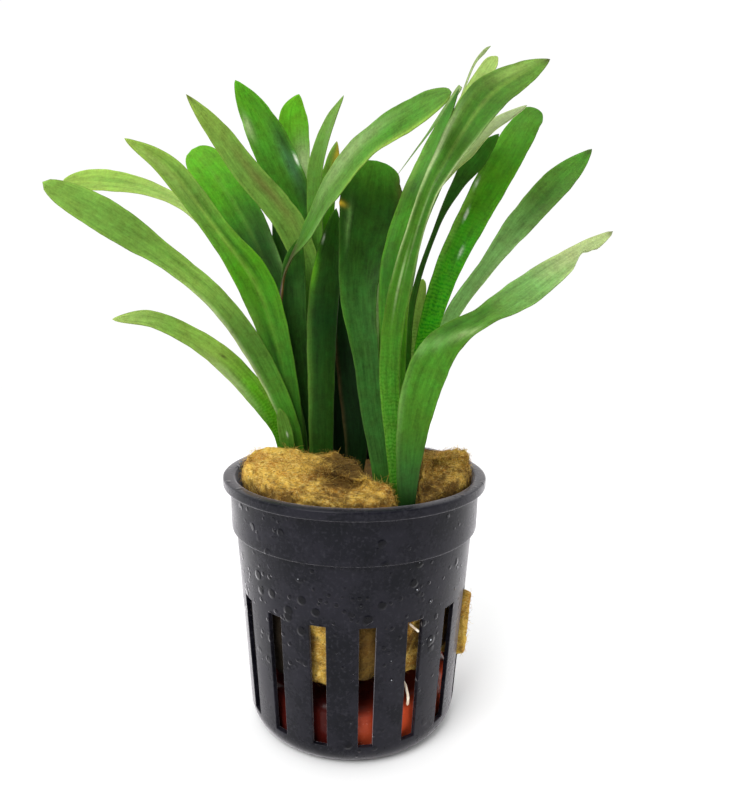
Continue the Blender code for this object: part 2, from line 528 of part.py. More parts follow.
def make_leaf(name, look, stations, parts):
    """A leaf as a loft of flat six-sided sections that thin out towards the tip."""
    shape = bmesh.new()
    sections = leaf_sections(stations)
    rings = []
    for index, (place, side, front, width) in enumerate(sections):
        share = min(index / (len(sections) - 1) / SHEATH_LENGTH_SHARE, 1.0)
        thickness = SHEATH_THICKNESS + (BLADE_THICKNESS - SHEATH_THICKNESS) * share
        thickness = min(thickness, THICKNESS_PER_WIDTH * width)
        ring = []
        for across, depth in LEAF_SECTION:
            corner = place + side * (across * width) + front * (depth * thickness)
            ring.append(shape.verts.new(corner * MM))
        rings.append(ring)
    for lower, upper in zip(rings, rings[1:]):
        bridge(shape, lower, upper)
    shape.faces.new(rings[0][::-1])
    shape.faces.new(rings[-1])
    object_from_bmesh(name, shape, parts, make_material(name, look))


def make_root(name, radius, route, parts, material):
    """A root as a thin round tube along its route."""
    curve = bpy.data.curves.new(name, "CURVE")
    curve.dimensions = "3D"
    curve.bevel_depth = radius * MM
    curve.bevel_resolution = 1
    curve.use_fill_caps = True
    points = smooth_route(route, 2)
    spline = curve.splines.new("POLY")
    spline.points.add(len(points) - 1)
    for target, point in zip(spline.points, points):
        target.co = (point.x * MM, point.y * MM, point.z * MM, 1.0)
    curve.materials.append(material)
    parts.objects.link(bpy.data.objects.new(name, curve))


def main():
    """Build the whole potted plant."""
    clear_scene()
    parts = make_collection(PART_NAME)
    cutters = make_collection("cutters")
    make_pot(parts, cutters)
    make_clay(parts)
    wool = make_material("rock wool", ROCK_WOOL)
    make_plug(parts, wool)
    make_chunk("wool_chunk_left", LEFT_CHUNK, parts, wool)
    make_chunk("wool_chunk_right", RIGHT_CHUNK, parts, wool)
    white = make_material("white root", ROOT)
    for name, (radius, route) in ROOTS.items():
        make_root(name, radius, route, parts, white)
    for name, (look, stations) in LEAVES.items():
        make_leaf(name, look, stations, parts)


main()
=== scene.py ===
"""Potted dwarf sagittaria, dressed: leaves, rock wool, clay ring, net pot, camera and light.

Lengths are written in millimetres and turned into metres by MM. The frame is the
solid model's: the pot's base centre is the origin, +Z is up, the viewer is at -Y.
"""
import math

import bpy
import numpy as np
from mathutils import Matrix, Vector


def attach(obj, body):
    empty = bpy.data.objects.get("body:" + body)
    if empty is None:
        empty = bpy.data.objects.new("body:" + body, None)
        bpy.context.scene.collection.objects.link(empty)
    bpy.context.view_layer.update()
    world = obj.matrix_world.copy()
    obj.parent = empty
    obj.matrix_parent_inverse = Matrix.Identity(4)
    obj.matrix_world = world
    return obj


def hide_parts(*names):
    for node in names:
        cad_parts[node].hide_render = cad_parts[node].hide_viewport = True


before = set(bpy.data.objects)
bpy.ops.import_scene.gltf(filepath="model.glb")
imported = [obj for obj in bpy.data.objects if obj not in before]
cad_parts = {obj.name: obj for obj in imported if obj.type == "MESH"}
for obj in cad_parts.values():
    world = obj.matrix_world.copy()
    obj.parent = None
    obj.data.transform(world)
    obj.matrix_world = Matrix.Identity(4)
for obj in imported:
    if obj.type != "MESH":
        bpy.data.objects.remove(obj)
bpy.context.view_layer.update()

MM = 0.001

# Camera, fitted to the pot in a picture of 753 by 800 pixels
CAMERA_PLACE = (0.0, -130.0, 87.9)
CAMERA_PITCH = math.radians(9.16)
CAMERA_PAN = math.radians(1.85)
CAMERA_ROLL = math.radians(0.92)
FOCAL_PIXELS = 639.25
PICTURE_HEIGHT = 800
SENSOR = 36.0
CLIP_START = 5.0

# Pot
RIM_RADIUS = 27.0
POT_HEIGHT = 52.2
WALL = 0.9
FLOOR = 1.0
BASE_RADIUS = 18.8
WALL_FOOT_RADIUS = 22.0
WALL_FOOT_HEIGHT = 4.3
STEP_HEIGHT = 41.0
WALL_TOP_RADIUS = 24.5
COLLAR_RADIUS = 25.4
COLLAR_SPREAD = 0.2
LIP_DEPTH = 2.0
MOULD_ROUNDING = 0.35

# Slots in the wall
SLOT_COUNT = 16
SLOT_WIDTH_TOP = 3.2
SLOT_WIDTH_FOOT = 2.8
SLOT_TOP = 29.2
SLOT_FOOT = 4.3
SLOT_PHASE = math.radians(6.3)
SLOT_PITCH = 2.0 * math.pi / SLOT_COUNT
SLOT_COLUMNS = 4
RIB_COLUMNS = 8
SLOT_EDGE = 0.16
EDGE_ANGLE = math.radians(60.0)

# Clay ring
CLEARANCE = 0.4
CLAY_HEIGHT = 10.0
CLAY_RADIUS = 20.3
CLAY_HOLE_RADIUS = 6.0
CLAY_SHOULDER = 2.4
CLAY_UNEVEN = 0.012

# Rock wool
PLUG_FOOT = 14.6
PLUG_TOP = 49.1
PLUG_LUMP = 0.45
PLUG_BULGE = 0.3
PLUG_ROUNDING = 0.8
TONGUE_WIDTH = 2.0
TONGUE_TOP = 28.4
TONGUE_FOOT = 13.6
TONGUE_REACH = 25.2
TONGUE_SLOT = 3
TONGUE_SWELL_RADIUS = 23.3
CHUNK_FOOT = 49.7
FIBRE_SIDES = 3
FIBRE_STEPS = 4
FIBRE_RADIUS = 0.03
FIBRE_SCATTER = 0.25
FIBRE_ROOT_DEPTH = 0.12
LEFT_TUFTS = [(-12.0, -3.0, 0.9, 1.2), (-4.5, -2.5, 0.7, 1.5)]
RIGHT_TUFTS = [(17.0, -5.0, 0.8, 2.0)]

# Fibres on each piece of wool: how many, how long, how far they lift, and their seed
FIBRES = {
    "wool_plug": (4000, 1.5, 0.10, 31),
    "wool_tongue": (600, 1.1, 0.20, 32),
    "wool_chunk_left": (7500, 1.3, 0.25, 33),
    "wool_chunk_right": (7000, 1.3, 0.25, 34)}

# Leaves
SPAN_STEPS = 14
FRONT_COLUMNS = 19
SHEATH_THICKNESS = 1.1
BLADE_THICKNESS = 0.45
MARGIN_THICKNESS = 0.14
SHEATH_LENGTH_SHARE = 0.35
CROWN_HEIGHT = 49.7
TIP_WIDTH = 0.5
WIDTH_RIPPLE = 7.0
MARGIN_RIPPLE = 16.0
TEAR_RIPPLE = 1.3
TEAR_RAGGED = 0.12
CELL_FADE = 0.35

# Leaf finishes: how strong the veins, the mottling and the margin are, and the gloss
FINISHES = {
    "leaf_bright": (0.16, 0.42, 0.30, 0.07),
    "leaf_middle": (0.16, 0.42, 0.35, 0.07),
    "leaf_dark": (0.20, 0.50, 0.20, 0.05),
    "leaf_pale": (0.16, 0.34, 0.30, 0.08),
    "leaf_dry": (0.15, 0.40, 0.30, 0.07)}

# Light: strength of the surround from behind, from the front and at both sides, and the lamps
WORLD_BEHIND = 1.02
WORLD_FRONT = 0.4
WORLD_SIDES = 2.0
KEY_PLACE = (-180.0, -260.0, 380.0)
KEY_TARGET = (0.0, 0.0, 60.0)
KEY_SIZE = 260.0
KEY_POWER = 1.7
TOP_PLACE = (0.0, 150.0, 900.0)
TOP_TARGET = (0.0, 50.0, 0.0)
TOP_SIZE = 900.0
TOP_POWER = 3.0
FLOOR_REACH = 450.0
FLOOR_LINES = 41
FLOOR_DARK = (0.89, 0.89, 0.89)
FLOOR_LIGHT = (0.91, 0.91, 0.91)
FLOOR_CLOUD = 12.0

# Linear colours of the leaves
# The ivory is a painted highlight
IVORY_HIGHLIGHT = (0.75, 0.90, 0.45)
CREAM = (0.40, 0.49, 0.23)
PALE_LIME = (0.26, 0.37, 0.09)
STRAW = (0.21, 0.34, 0.05)
YELLOW_GREEN = (0.165, 0.30, 0.045)
FRESH = (0.10, 0.32, 0.010)
SPRING = (0.065, 0.24, 0.007)
GRASS = (0.052, 0.18, 0.012)
VIVID = (0.030, 0.20, 0.002)
MOSS = (0.07, 0.17, 0.02)
FERN = (0.042, 0.13, 0.008)
OLIVE = (0.115, 0.235, 0.033)
SILVER = (0.13, 0.27, 0.065)
GREY_GREEN = (0.22, 0.32, 0.115)
MIST = (0.31, 0.39, 0.155)
SAGE = (0.21, 0.41, 0.11)
BOTTLE = (0.024, 0.085, 0.012)
DEEP = (0.022, 0.092, 0.005)
DARK = (0.013, 0.050, 0.004)
# Painted shade: the two darkest greens stand for leaves and feet in the shadow of the crown
SHADED_GREEN = (0.006, 0.030, 0.003)
SHADOW_GREEN = (0.0035, 0.014, 0.0025)
# A painted reflection: the bluish wet sheen on a dark blade
BLUISH_SHEEN = (0.05, 0.13, 0.06)
RUST = (0.14, 0.08, 0.03)
OCHRE = (0.45, 0.29, 0.02)
UMBER = (0.035, 0.018, 0.012)
# GLINT is a painted highlight
GLINT = (0.95, 1.0, 0.85)

# Linear colours of the plastic, the clay, the wool and the roots
PLASTIC_DARK = (0.002, 0.0023, 0.005)
PLASTIC_LIGHT = (0.010, 0.0095, 0.015)
PLASTIC_SCUFF = (0.032, 0.031, 0.040)
PLASTIC_SHEEN = (0.95, 0.90, 0.96, 1.0)
BEAD_DARK = (0.0015, 0.0015, 0.003)
BEAD_SHINE = (0.75, 0.78, 0.85)
CLAY_DEEP = (0.30, 0.028, 0.010)
CLAY_RED = (0.55, 0.080, 0.030)
# Clay: the orange is painted light on its right, the two shades are painted shade on its left and its top
CLAY_LIT_ORANGE = (0.98, 0.13, 0.045)
CLAY_PORE = (0.90, 0.35, 0.22)
CLAY_SHADE = (0.035, 0.003, 0.004)
CLAY_TOP_SHADE = (0.03, 0.004, 0.004)
WOOL_AMBER = (0.44, 0.185, 0.018)
WOOL_GOLD = (0.74, 0.45, 0.065)
WOOL_STRAND = (0.92, 0.74, 0.26)
WOOL_BROWN = (0.105, 0.055, 0.012)
WOOL_BRIGHT = (0.86, 0.68, 0.15)
WOOL_SPECK = (0.07, 0.032, 0.008)
WOOL_HOLLOW = (0.10, 0.045, 0.008)
WOOL_SHADOW = (0.012, 0.009, 0.006)
ROOT_TAN = (0.60, 0.46, 0.32)
ROOT_WHITE = (0.86, 0.80, 0.68)

# Pattern sizes, in steps to the metre
LEAF_PATCHES = 260.0
LEAF_BLOTS = 700.0
LEAF_GRAIN = 2300.0
PLASTIC_CLOUD = 120.0
PLASTIC_FINE = 1500.0
CLAY_CLOUD = 180.0
CLAY_GRAIN = 1600.0
WOOL_LUMPS = 170.0
WOOL_FLECKS = 2600.0
WOOL_SPECKS = 1700.0
ROOT_CLOUD = 900.0

# Veins across a blade, and ribs of its cell net along each centimetre
LEAF_VEINS = 7.0
LEAF_RIBS = 14.0

# Wet beads on the pot: steps to the metre, least and most reach in a step
BEADS = ((340.0, 0.15, 0.42), (700.0, 0.12, 0.40))
BEAD_CLOUD = 160.0

# Lie of the wool's strands: two turns of one pattern, drawn out along its first direction
STRAND_TURNS = ((0.3, 0.9, 0.4), (1.1, -0.6, 1.3))
STRAND_STRETCH = (0.55, 1.0, 1.0)

# Depth of each finish's relief, in metres
LEAF_RELIEF = 0.00008
PLASTIC_RELIEF = 0.00003
BEAD_RELIEF = 0.00015
CLAY_RELIEF = 0.0002
WOOL_RELIEF = 0.0005
ROOT_RELIEF = 0.00005

# Stations of each leaf from the crown to the tip, as in the solid model: x, y, z of
# its middle, its width, and its turn in degrees (positive sends the right edge back)
LEAVES = {
    "leaf_far_left": [
        (-11.8, 1.8, CROWN_HEIGHT, 3.0, 0), (-13.6, 1.6, 61.0, 3.6, 5), (-19.2, -0.2, 74.5, 4.5, 15),
        (-26.4, -4.5, 86.1, 4.6, 30), (-35.0, -5.8, 93.7, 4.8, 32), (-46.0, -8.8, 101.4, 6.8, 30),
        (-55.2, -12.0, 106.8, TIP_WIDTH, 25)],
    "leaf_left_drooping": [
        (-13.5, 12.6, CROWN_HEIGHT, 2.6, 0), (-15.0, 14.0, 62.0, 3.6, 0), (-22.0, 16.4, 83.0, 3.6, 10),
        (-34.5, 19.9, 103.5, 2.8, 20), (-46.0, 22.6, 110.7, 3.9, 34), (-60.0, 25.5, 113.3, 6.8, 37),
        (-69.0, 26.5, 112.6, TIP_WIDTH, 30)],
    "leaf_left_folded": [
        (-12.0, 3.4, CROWN_HEIGHT, 3.0, 0), (-13.2, 3.1, 62.0, 4.0, 0), (-16.4, 1.8, 78.0, 5.8, 12),
        (-20.6, -0.2, 90.3, 7.6, 24), (-26.5, -2.6, 99.0, 5.3, 28), (-35.0, -5.4, 110.4, 4.8, 30),
        (-42.1, -8.0, 115.3, TIP_WIDTH, 25)],
    "leaf_left_broad": [
        (-12.4, 9.2, CROWN_HEIGHT, 3.0, 0), (-12.8, 9.4, 64.0, 3.6, 0), (-16.0, 9.8, 85.5, 5.0, 8),
        (-20.5, 11.0, 96.0, 7.2, 10), (-25.6, 12.6, 105.5, 8.9, 12), (-31.6, 14.4, 114.0, 8.4, 15),
        (-36.0, 15.6, 118.6, 1.5, 15)],
    "leaf_back_left_red": [
        (-9.0, 8.4, CROWN_HEIGHT, 2.6, 0), (-9.6, 7.9, 62.0, 3.6, 0), (-9.6, 8.2, 88.0, 4.2, 6),
        (-12.9, 7.9, 99.8, 6.2, 14), (-16.8, 6.8, 105.9, 6.3, 22), (-21.9, 4.8, 111.5, 6.0, 26),
        (-28.0, 2.3, 119.5, 4.5, 27), (-32.9, 0.0, 125.3, TIP_WIDTH, 20)],
    "leaf_back_left_tall": [
        (-10.4, 12.2, CROWN_HEIGHT, 2.6, 0), (-10.8, 12.7, 64.0, 3.6, 0), (-10.4, 13.6, 92.0, 4.8, 0),
        (-12.8, 14.1, 106.0, 7.0, 10), (-17.6, 14.6, 116.6, 8.8, 18), (-22.0, 15.2, 125.6, 7.0, 20),
        (-26.5, 16.0, 133.0, TIP_WIDTH, 20)],
    "leaf_back_bright": [
        (-8.8, 14.6, CROWN_HEIGHT, 2.6, 0), (-9.2, 15.8, 64.0, 3.4, 0), (-10.9, 17.6, 94.0, 4.0, 0),
        (-13.2, 20.3, 110.5, 5.0, 5), (-14.5, 22.2, 120.8, 6.7, 10), (-14.8, 23.5, 128.0, 6.2, 10),
        (-13.7, 24.5, 133.0, TIP_WIDTH, 10)],
    "leaf_back_narrow": [
        (-7.0, 10.6, CROWN_HEIGHT, 2.2, 0), (-7.8, 10.8, 64.0, 2.8, 0), (-8.7, 11.0, 98.0, 3.2, -20),
        (-9.0, 10.9, 108.5, 4.4, -42), (-8.4, 10.7, 115.3, 5.2, -50), (-5.9, 10.3, 123.6, 4.0, -50),
        (-3.2, 10.0, 128.8, TIP_WIDTH, -50)],
    "leaf_back_short": [
        (-5.6, 13.0, CROWN_HEIGHT, 2.2, 0), (-6.4, 13.4, 64.0, 2.6, 0), (-7.2, 15.6, 95.0, 2.8, 0),
        (-6.9, 17.2, 110.0, 3.8, 10), (-5.8, 17.2, 116.5, 3.2, 15), (-4.8, 17.2, 121.4, TIP_WIDTH, 15)],
    "leaf_front_arching": [
        (-11.0, 5.1, CROWN_HEIGHT, 2.6, 0), (-12.0, 4.9, 62.0, 1.8, 0), (-15.8, 4.3, 78.0, 1.5, -40),
        (-15.4, 3.8, 89.5, 1.4, -64), (-13.4, 2.4, 95.2, 1.4, -62),
        (-10.3, -0.8, 99.2, 4.8, -58), (-5.4, -6.8, 106.6, 6.0, -44),
        (0.9, -12.2, 113.6, 5.9, -32), (9.0, -19.0, 117.7, 5.4, -24), (14.3, -25.0, 119.4, 0.8, -20)],
    "leaf_centre_left": [
        (-9.8, 6.8, CROWN_HEIGHT, 3.8, 0), (-10.2, 6.3, 58.0, 4.4, 0), (-12.2, 6.0, 72.0, 5.4, 0),
        (-13.2, 5.6, 84.5, 5.4, 0), (-13.1, 4.8, 93.5, 4.6, 5), (-11.8, 4.0, 99.5, TIP_WIDTH, 5)],
    "leaf_centre_upright": [
        (-7.2, 2.2, CROWN_HEIGHT, 4.6, 0), (-7.3, 2.3, 58.0, 5.2, 0), (-7.3, 2.4, 68.0, 5.5, 5),
        (-7.1, 2.1, 82.0, 6.2, 10), (-6.0, 1.1, 93.5, 5.6, 14), (-4.3, 0.0, 105.0, TIP_WIDTH, 15)],
    "leaf_centre_spoon": [
        (5.4, -16.2, CROWN_HEIGHT, 3.2, 0), (4.6, -16.1, 58.0, 3.7, 0), (2.8, -15.3, 68.0, 4.1, 0),
        (1.7, -13.9, 77.0, 4.7, 3), (0.2, -11.6, 87.0, 6.6, 8), (0.6, -9.0, 96.5, 8.8, 10),
        (2.2, -6.9, 103.2, 12.4, 10), (3.0, -5.6, 109.5, 9.6, 10), (3.4, -5.2, 113.0, 1.5, 10)],
    "leaf_right_slender": [
        (6.2, -13.4, CROWN_HEIGHT, 2.2, 0), (5.8, -13.2, 64.0, 2.6, -6), (5.5, -12.8, 80.0, 2.9, -18),
        (6.1, -11.6, 94.0, 4.0, -36), (9.4, -7.8, 105.5, 4.1, -43), (14.3, -1.6, 116.7, 3.7, -43),
        (19.7, 4.0, 128.9, TIP_WIDTH, -40)],
    "leaf_right_withered_folded": [
        (4.6, -10.0, CROWN_HEIGHT, 1.4, 0), (4.1, -6.0, 72.0, 1.6, 0), (4.1, -3.4, 84.0, 1.8, 0),
        (4.3, -1.0, 92.4, 1.6, 0), (6.9, 1.6, 99.4, 0.4, 0), (13.1, 8.5, 116.1, 0.4, 0),
        (18.0, 10.0, 126.0, 0.6, 0), (20.4, 9.3, 130.2, 0.9, 0), (19.6, 7.4, 129.2, 0.9, 0),
        (15.4, 5.0, 122.7, 0.7, 0), (13.0, 4.0, 119.2, 0.4, 0), (7.1, 2.6, 111.1, 0.4, 0)],
    "leaf_right_withered_tip": [
        (8.0, -7.6, CROWN_HEIGHT, 1.0, 0), (8.8, -1.0, 75.0, 1.0, 0), (14.3, 6.0, 107.7, 0.6, 0),
        (20.2, 10.2, 126.1, 0.5, 0), (23.3, 11.0, 135.0, 0.5, 0), (25.6, 11.0, 138.2, 0.8, 0),
        (27.0, 11.0, 139.4, 0.5, 0)],
    "leaf_right_back_pale": [
        (8.3, -11.2, CROWN_HEIGHT, 2.0, 0), (8.0, -9.0, 66.0, 2.2, 0), (8.2, -6.4, 86.0, 3.0, 0),
        (10.9, -4.0, 100.7, 3.9, -18), (16.3, 1.2, 114.2, 4.5, -18), (21.2, 1.7, 125.1, 4.4, -22),
        (24.9, 2.1, 132.2, 3.2, -25), (26.7, 2.4, 134.4, 0.8, -25)],
    "leaf_right_top": [
        (8.0, -18.6, CROWN_HEIGHT, 2.6, 0), (7.2, -18.6, 59.0, 3.0, 0), (5.8, -18.5, 75.0, 3.6, -2),
        (7.2, -18.2, 88.5, 3.8, -8), (11.0, -17.9, 103.0, 3.1, -16), (14.6, -17.6, 110.6, 4.7, -23),
        (21.2, -17.0, 120.6, 7.2, -25), (27.2, -16.4, 125.0, 4.8, -23),
        (31.9, -16.0, 127.7, TIP_WIDTH, -20)],
    "leaf_right_edge_on": [
        (7.8, -15.6, CROWN_HEIGHT, 1.0, 0), (8.3, -15.8, 64.0, 1.0, 0), (8.6, -15.4, 87.5, 1.4, -20),
        (11.8, -14.3, 103.5, 1.6, -42), (20.1, -13.0, 114.1, 3.6, -56), (24.6, -12.2, 118.5, 4.0, -57),
        (29.5, -11.6, 121.6, TIP_WIDTH, -50)],
    "leaf_right_dark": [
        (9.2, -13.2, CROWN_HEIGHT, 1.7, 0), (9.3, -12.8, 66.0, 1.5, 0), (10.0, -11.6, 86.0, 1.2, 0),
        (14.4, -9.4, 100.6, 1.0, 0), (18.2, -8.4, 108.4, 2.4, -6), (21.6, -7.9, 113.3, 3.9, -8),
        (25.6, -7.6, 117.7, TIP_WIDTH, -8)],
    "leaf_right_bright": [
        (9.8, -15.6, CROWN_HEIGHT, 2.2, 0), (10.4, -15.0, 65.0, 2.7, 0), (12.5, -13.8, 80.0, 3.6, -2),
        (16.0, -11.9, 92.0, 4.6, -10), (20.9, -9.6, 102.1, 5.7, -17), (27.0, -6.7, 113.2, 6.5, -21),
        (31.4, -4.5, 120.6, 5.2, -22), (33.9, -3.2, 123.2, 0.8, -20)],
    "leaf_right_grey": [
        (11.4, -8.8, CROWN_HEIGHT, 1.8, 0), (13.0, -8.4, 67.0, 1.9, 0), (17.4, -6.6, 83.0, 2.8, -9),
        (25.6, -2.6, 94.4, 3.4, -19), (33.0, 2.0, 103.2, 5.7, -27), (42.0, 7.0, 112.6, 6.1, -28),
        (49.1, 10.0, 119.4, TIP_WIDTH, -25)],
    "leaf_front_right_twisted": [
        (9.3, -21.0, CROWN_HEIGHT, 2.6, 0), (9.2, -21.8, 57.2, 4.0, 0), (9.8, -22.6, 65.8, 5.6, 0),
        (11.0, -23.0, 72.6, 6.6, -2), (13.2, -23.3, 78.2, 6.5, -16), (16.6, -23.4, 81.8, 6.2, -50),
        (21.6, -23.1, 84.7, 6.2, -62), (28.0, -22.2, 88.9, 6.2, -40), (35.0, -21.2, 94.0, 4.2, -36),
        (43.1, -20.0, 99.5, TIP_WIDTH, -30)],
    "leaf_low_left": [
        (-14.8, 6.0, CROWN_HEIGHT, 2.4, 0), (-16.0, 5.2, 58.5, 3.4, 0), (-19.6, 3.4, 65.6, 4.6, 12),
        (-25.6, 0.8, 73.4, 4.9, 24), (-31.8, -2.0, 78.9, 4.3, 30), (-39.2, -5.2, 82.9, 3.4, 30),
        (-45.6, -8.6, 83.0, TIP_WIDTH, 25)],
    "leaf_back_left_hidden": [
        (-12.0, 10.7, CROWN_HEIGHT, 2.4, 0), (-12.8, 11.0, 64.0, 3.4, 0), (-14.6, 12.0, 88.5, 3.9, 0),
        (-16.9, 14.8, 98.5, 3.4, 5), (-19.0, 18.0, 106.0, TIP_WIDTH, 5)],
    "leaf_right_blunt": [
        (10.9, -10.9, CROWN_HEIGHT, 1.8, 0), (10.5, -9.8, 65.0, 2.6, 0), (10.4, -8.7, 77.5, 3.4, 0),
        (11.1, -8.4, 86.5, 3.2, 0), (12.3, -8.2, 91.4, 0.9, 0)],
    "leaf_centre_back": [
        (0.0, 4.0, CROWN_HEIGHT, 3.6, 0), (0.1, 4.7, 60.0, 5.6, 0), (-1.0, 6.0, 69.2, 5.8, 0),
        (-2.6, 7.8, 83.0, 5.4, 5), (-6.0, 9.0, 104.5, TIP_WIDTH, 5)],
    "leaf_centre_rear": [
        (-3.2, 9.0, CROWN_HEIGHT, 2.8, 0), (-2.8, 9.8, 60.0, 5.2, 0), (-2.0, 10.6, 70.0, 7.6, 0),
        (-1.2, 12.2, 84.0, 8.6, -5), (-3.0, 14.0, 95.5, 7.6, -5),
        (-2.6, 16.0, 106.5, TIP_WIDTH, -5)],
    "leaf_left_stub": [
        (-13.6, 0.2, CROWN_HEIGHT, 2.6, 0), (-14.2, 0.0, 58.0, 3.0, 0), (-15.0, -0.4, 62.6, 2.5, 0),
        (-15.7, -0.8, 65.2, TIP_WIDTH, 0)],
}


# Form of each leaf: tip (1 pointed, 2 round), fold along the midrib, cup across the blade,
# ripple of the margins in mm, share of its length with the cell pattern, and its finish
FORMS = {
    "leaf_far_left": (1.9, 0.10, 0.06, 0.20, 0.10, "leaf_bright"),
    "leaf_left_drooping": (2.0, 0.16, 0.00, 0.15, 0.0, "leaf_pale"),
    "leaf_left_folded": (1.3, 0.30, 0.00, 0.15, 0.0, "leaf_bright"),
    "leaf_left_broad": (2.2, 0.06, 0.10, 0.15, 0.0, "leaf_bright"),
    "leaf_back_left_red": (1.2, 0.12, 0.05, 0.12, 0.0, "leaf_middle"),
    "leaf_back_left_tall": (1.3, 0.18, 0.00, 0.25, 0.0, "leaf_dark"),
    "leaf_back_bright": (1.25, 0.05, 0.10, 0.15, 0.0, "leaf_bright"),
    "leaf_back_narrow": (1.1, 0.30, 0.00, 0.10, 0.0, "leaf_pale"),
    "leaf_back_short": (1.3, 0.10, 0.00, 0.10, 0.0, "leaf_bright"),
    "leaf_front_arching": (1.8, 0.12, 0.05, 0.20, 0.0, "leaf_bright"),
    "leaf_centre_left": (1.4, 0.10, 0.05, 0.10, 0.0, "leaf_dark"),
    "leaf_centre_upright": (1.4, 0.00, -0.14, 0.10, 0.0, "leaf_middle"),
    "leaf_centre_spoon": (2.0, 0.05, 0.16, 0.25, 0.0, "leaf_dark"),
    "leaf_right_slender": (1.2, 0.20, 0.00, 0.10, 0.5, "leaf_middle"),
    "leaf_right_withered_folded": (1.2, 0.10, 0.00, 0.20, 0.0, "leaf_dry"),
    "leaf_right_withered_tip": (1.2, 0.10, 0.00, 0.20, 0.0, "leaf_dry"),
    "leaf_right_back_pale": (1.5, 0.08, 0.05, 0.15, 0.30, "leaf_bright"),
    "leaf_right_top": (1.2, 0.26, 0.00, 0.20, 0.40, "leaf_bright"),
    "leaf_right_edge_on": (1.2, 0.20, 0.00, 0.25, 0.0, "leaf_pale"),
    "leaf_right_dark": (1.3, 0.10, 0.06, 0.15, 0.0, "leaf_dark"),
    "leaf_right_bright": (1.9, 0.08, 0.08, 0.15, 0.78, "leaf_bright"),
    "leaf_right_grey": (1.3, 0.10, 0.10, 0.20, 0.0, "leaf_middle"),
    "leaf_front_right_twisted": (1.5, 0.06, 0.12, 0.25, 0.0, "leaf_middle"),
    "leaf_low_left": (1.5, 0.08, 0.06, 0.25, 0.5, "leaf_bright"),
    "leaf_back_left_hidden": (1.2, 0.10, 0.05, 0.10, 0.0, "leaf_dark"),
    "leaf_right_blunt": (1.9, 0.10, 0.05, 0.10, 0.95, "leaf_pale"),
    "leaf_centre_back": (1.3, 0.10, 0.05, 0.10, 0.0, "leaf_dark"),
    "leaf_centre_rear": (1.3, 0.10, 0.05, 0.10, 0.0, "leaf_dark"),
    "leaf_left_stub": (1.3, 0.10, 0.05, 0.10, 0.0, "leaf_dark"),
}

# Colours of each leaf from its foot to its tip, evenly spaced along it; the dark feet and inner leaves
# are painted shade of the crown, and the bright outer greens are partly painted light shining through
# them
COLOURS = {
    "leaf_far_left": (DEEP, GRASS, MOSS, YELLOW_GREEN, OLIVE, YELLOW_GREEN),
    "leaf_left_drooping": (DEEP, GRASS, STRAW, PALE_LIME, PALE_LIME, STRAW, STRAW),
    "leaf_left_folded": (DARK, DEEP, GRASS, SPRING, OLIVE, STRAW),
    "leaf_left_broad": (DARK, DARK, DARK, DARK, BOTTLE, SPRING, FRESH),
    "leaf_back_left_red": (DARK, DEEP, GRASS, OLIVE, OLIVE, STRAW),
    "leaf_back_left_tall": (DARK, DARK, DARK, DEEP, GRASS, SPRING),
    "leaf_back_bright": (DARK, DEEP, GRASS, PALE_LIME, SPRING, FRESH),
    "leaf_back_narrow": (DARK, DEEP, GRASS, FERN, MOSS, OLIVE),
    "leaf_back_short": (DARK, DEEP, GRASS, SPRING, SPRING, YELLOW_GREEN),
    "leaf_front_arching": (DARK, DEEP, UMBER, UMBER, FERN, MOSS, GRASS, MOSS),
    "leaf_centre_left": (SHADED_GREEN, SHADED_GREEN, DARK, DARK, BOTTLE, DEEP),
    "leaf_centre_upright": (DARK, DARK, DARK, SHADED_GREEN, DARK, DEEP),
    "leaf_centre_spoon": (DEEP, BOTTLE, BOTTLE, BOTTLE, BOTTLE, DARK, DARK, GRASS),
    "leaf_right_slender": (DEEP, DEEP, GRASS, DEEP, GRASS, GRASS, DEEP),
    "leaf_right_withered_folded": (
        DEEP, DEEP, MOSS, GREY_GREEN, GREY_GREEN, OLIVE, SILVER, GREY_GREEN, SILVER, GREY_GREEN),
    "leaf_right_withered_tip": (DEEP, MOSS, SILVER, GREY_GREEN, CREAM, GREY_GREEN),
    "leaf_right_back_pale": (DEEP, SPRING, SPRING, SPRING, YELLOW_GREEN, PALE_LIME),
    "leaf_right_top": (DEEP, GRASS, GRASS, FERN, FERN, FERN, FERN, OLIVE),
    "leaf_right_edge_on": (DEEP, GRASS, SPRING, STRAW, PALE_LIME, CREAM),
    "leaf_right_dark": (DEEP, DEEP, DEEP, DARK, DARK, DEEP),
    "leaf_right_bright": (VIVID, VIVID, VIVID, VIVID, SPRING, GRASS),
    "leaf_right_grey": (DEEP, MOSS, SAGE, SAGE, MOSS, GRASS),
    "leaf_front_right_twisted": (SHADOW_GREEN, BOTTLE, FERN, GRASS, FERN, MOSS, SILVER, MIST, MIST),
    "leaf_low_left": (DEEP, SPRING, FRESH, STRAW, YELLOW_GREEN, PALE_LIME),
    "leaf_back_left_hidden": (SHADED_GREEN, SHADED_GREEN, SHADED_GREEN, DARK, DEEP),
    "leaf_right_blunt": (DEEP, SPRING, YELLOW_GREEN, YELLOW_GREEN, STRAW),
    "leaf_centre_back": (SHADOW_GREEN, SHADOW_GREEN, SHADOW_GREEN, SHADED_GREEN, SHADED_GREEN),
    "leaf_centre_rear": (SHADOW_GREEN, SHADOW_GREEN, SHADOW_GREEN, SHADED_GREEN, DARK),
    "leaf_left_stub": (DARK, DEEP, MOSS, MOSS),
}

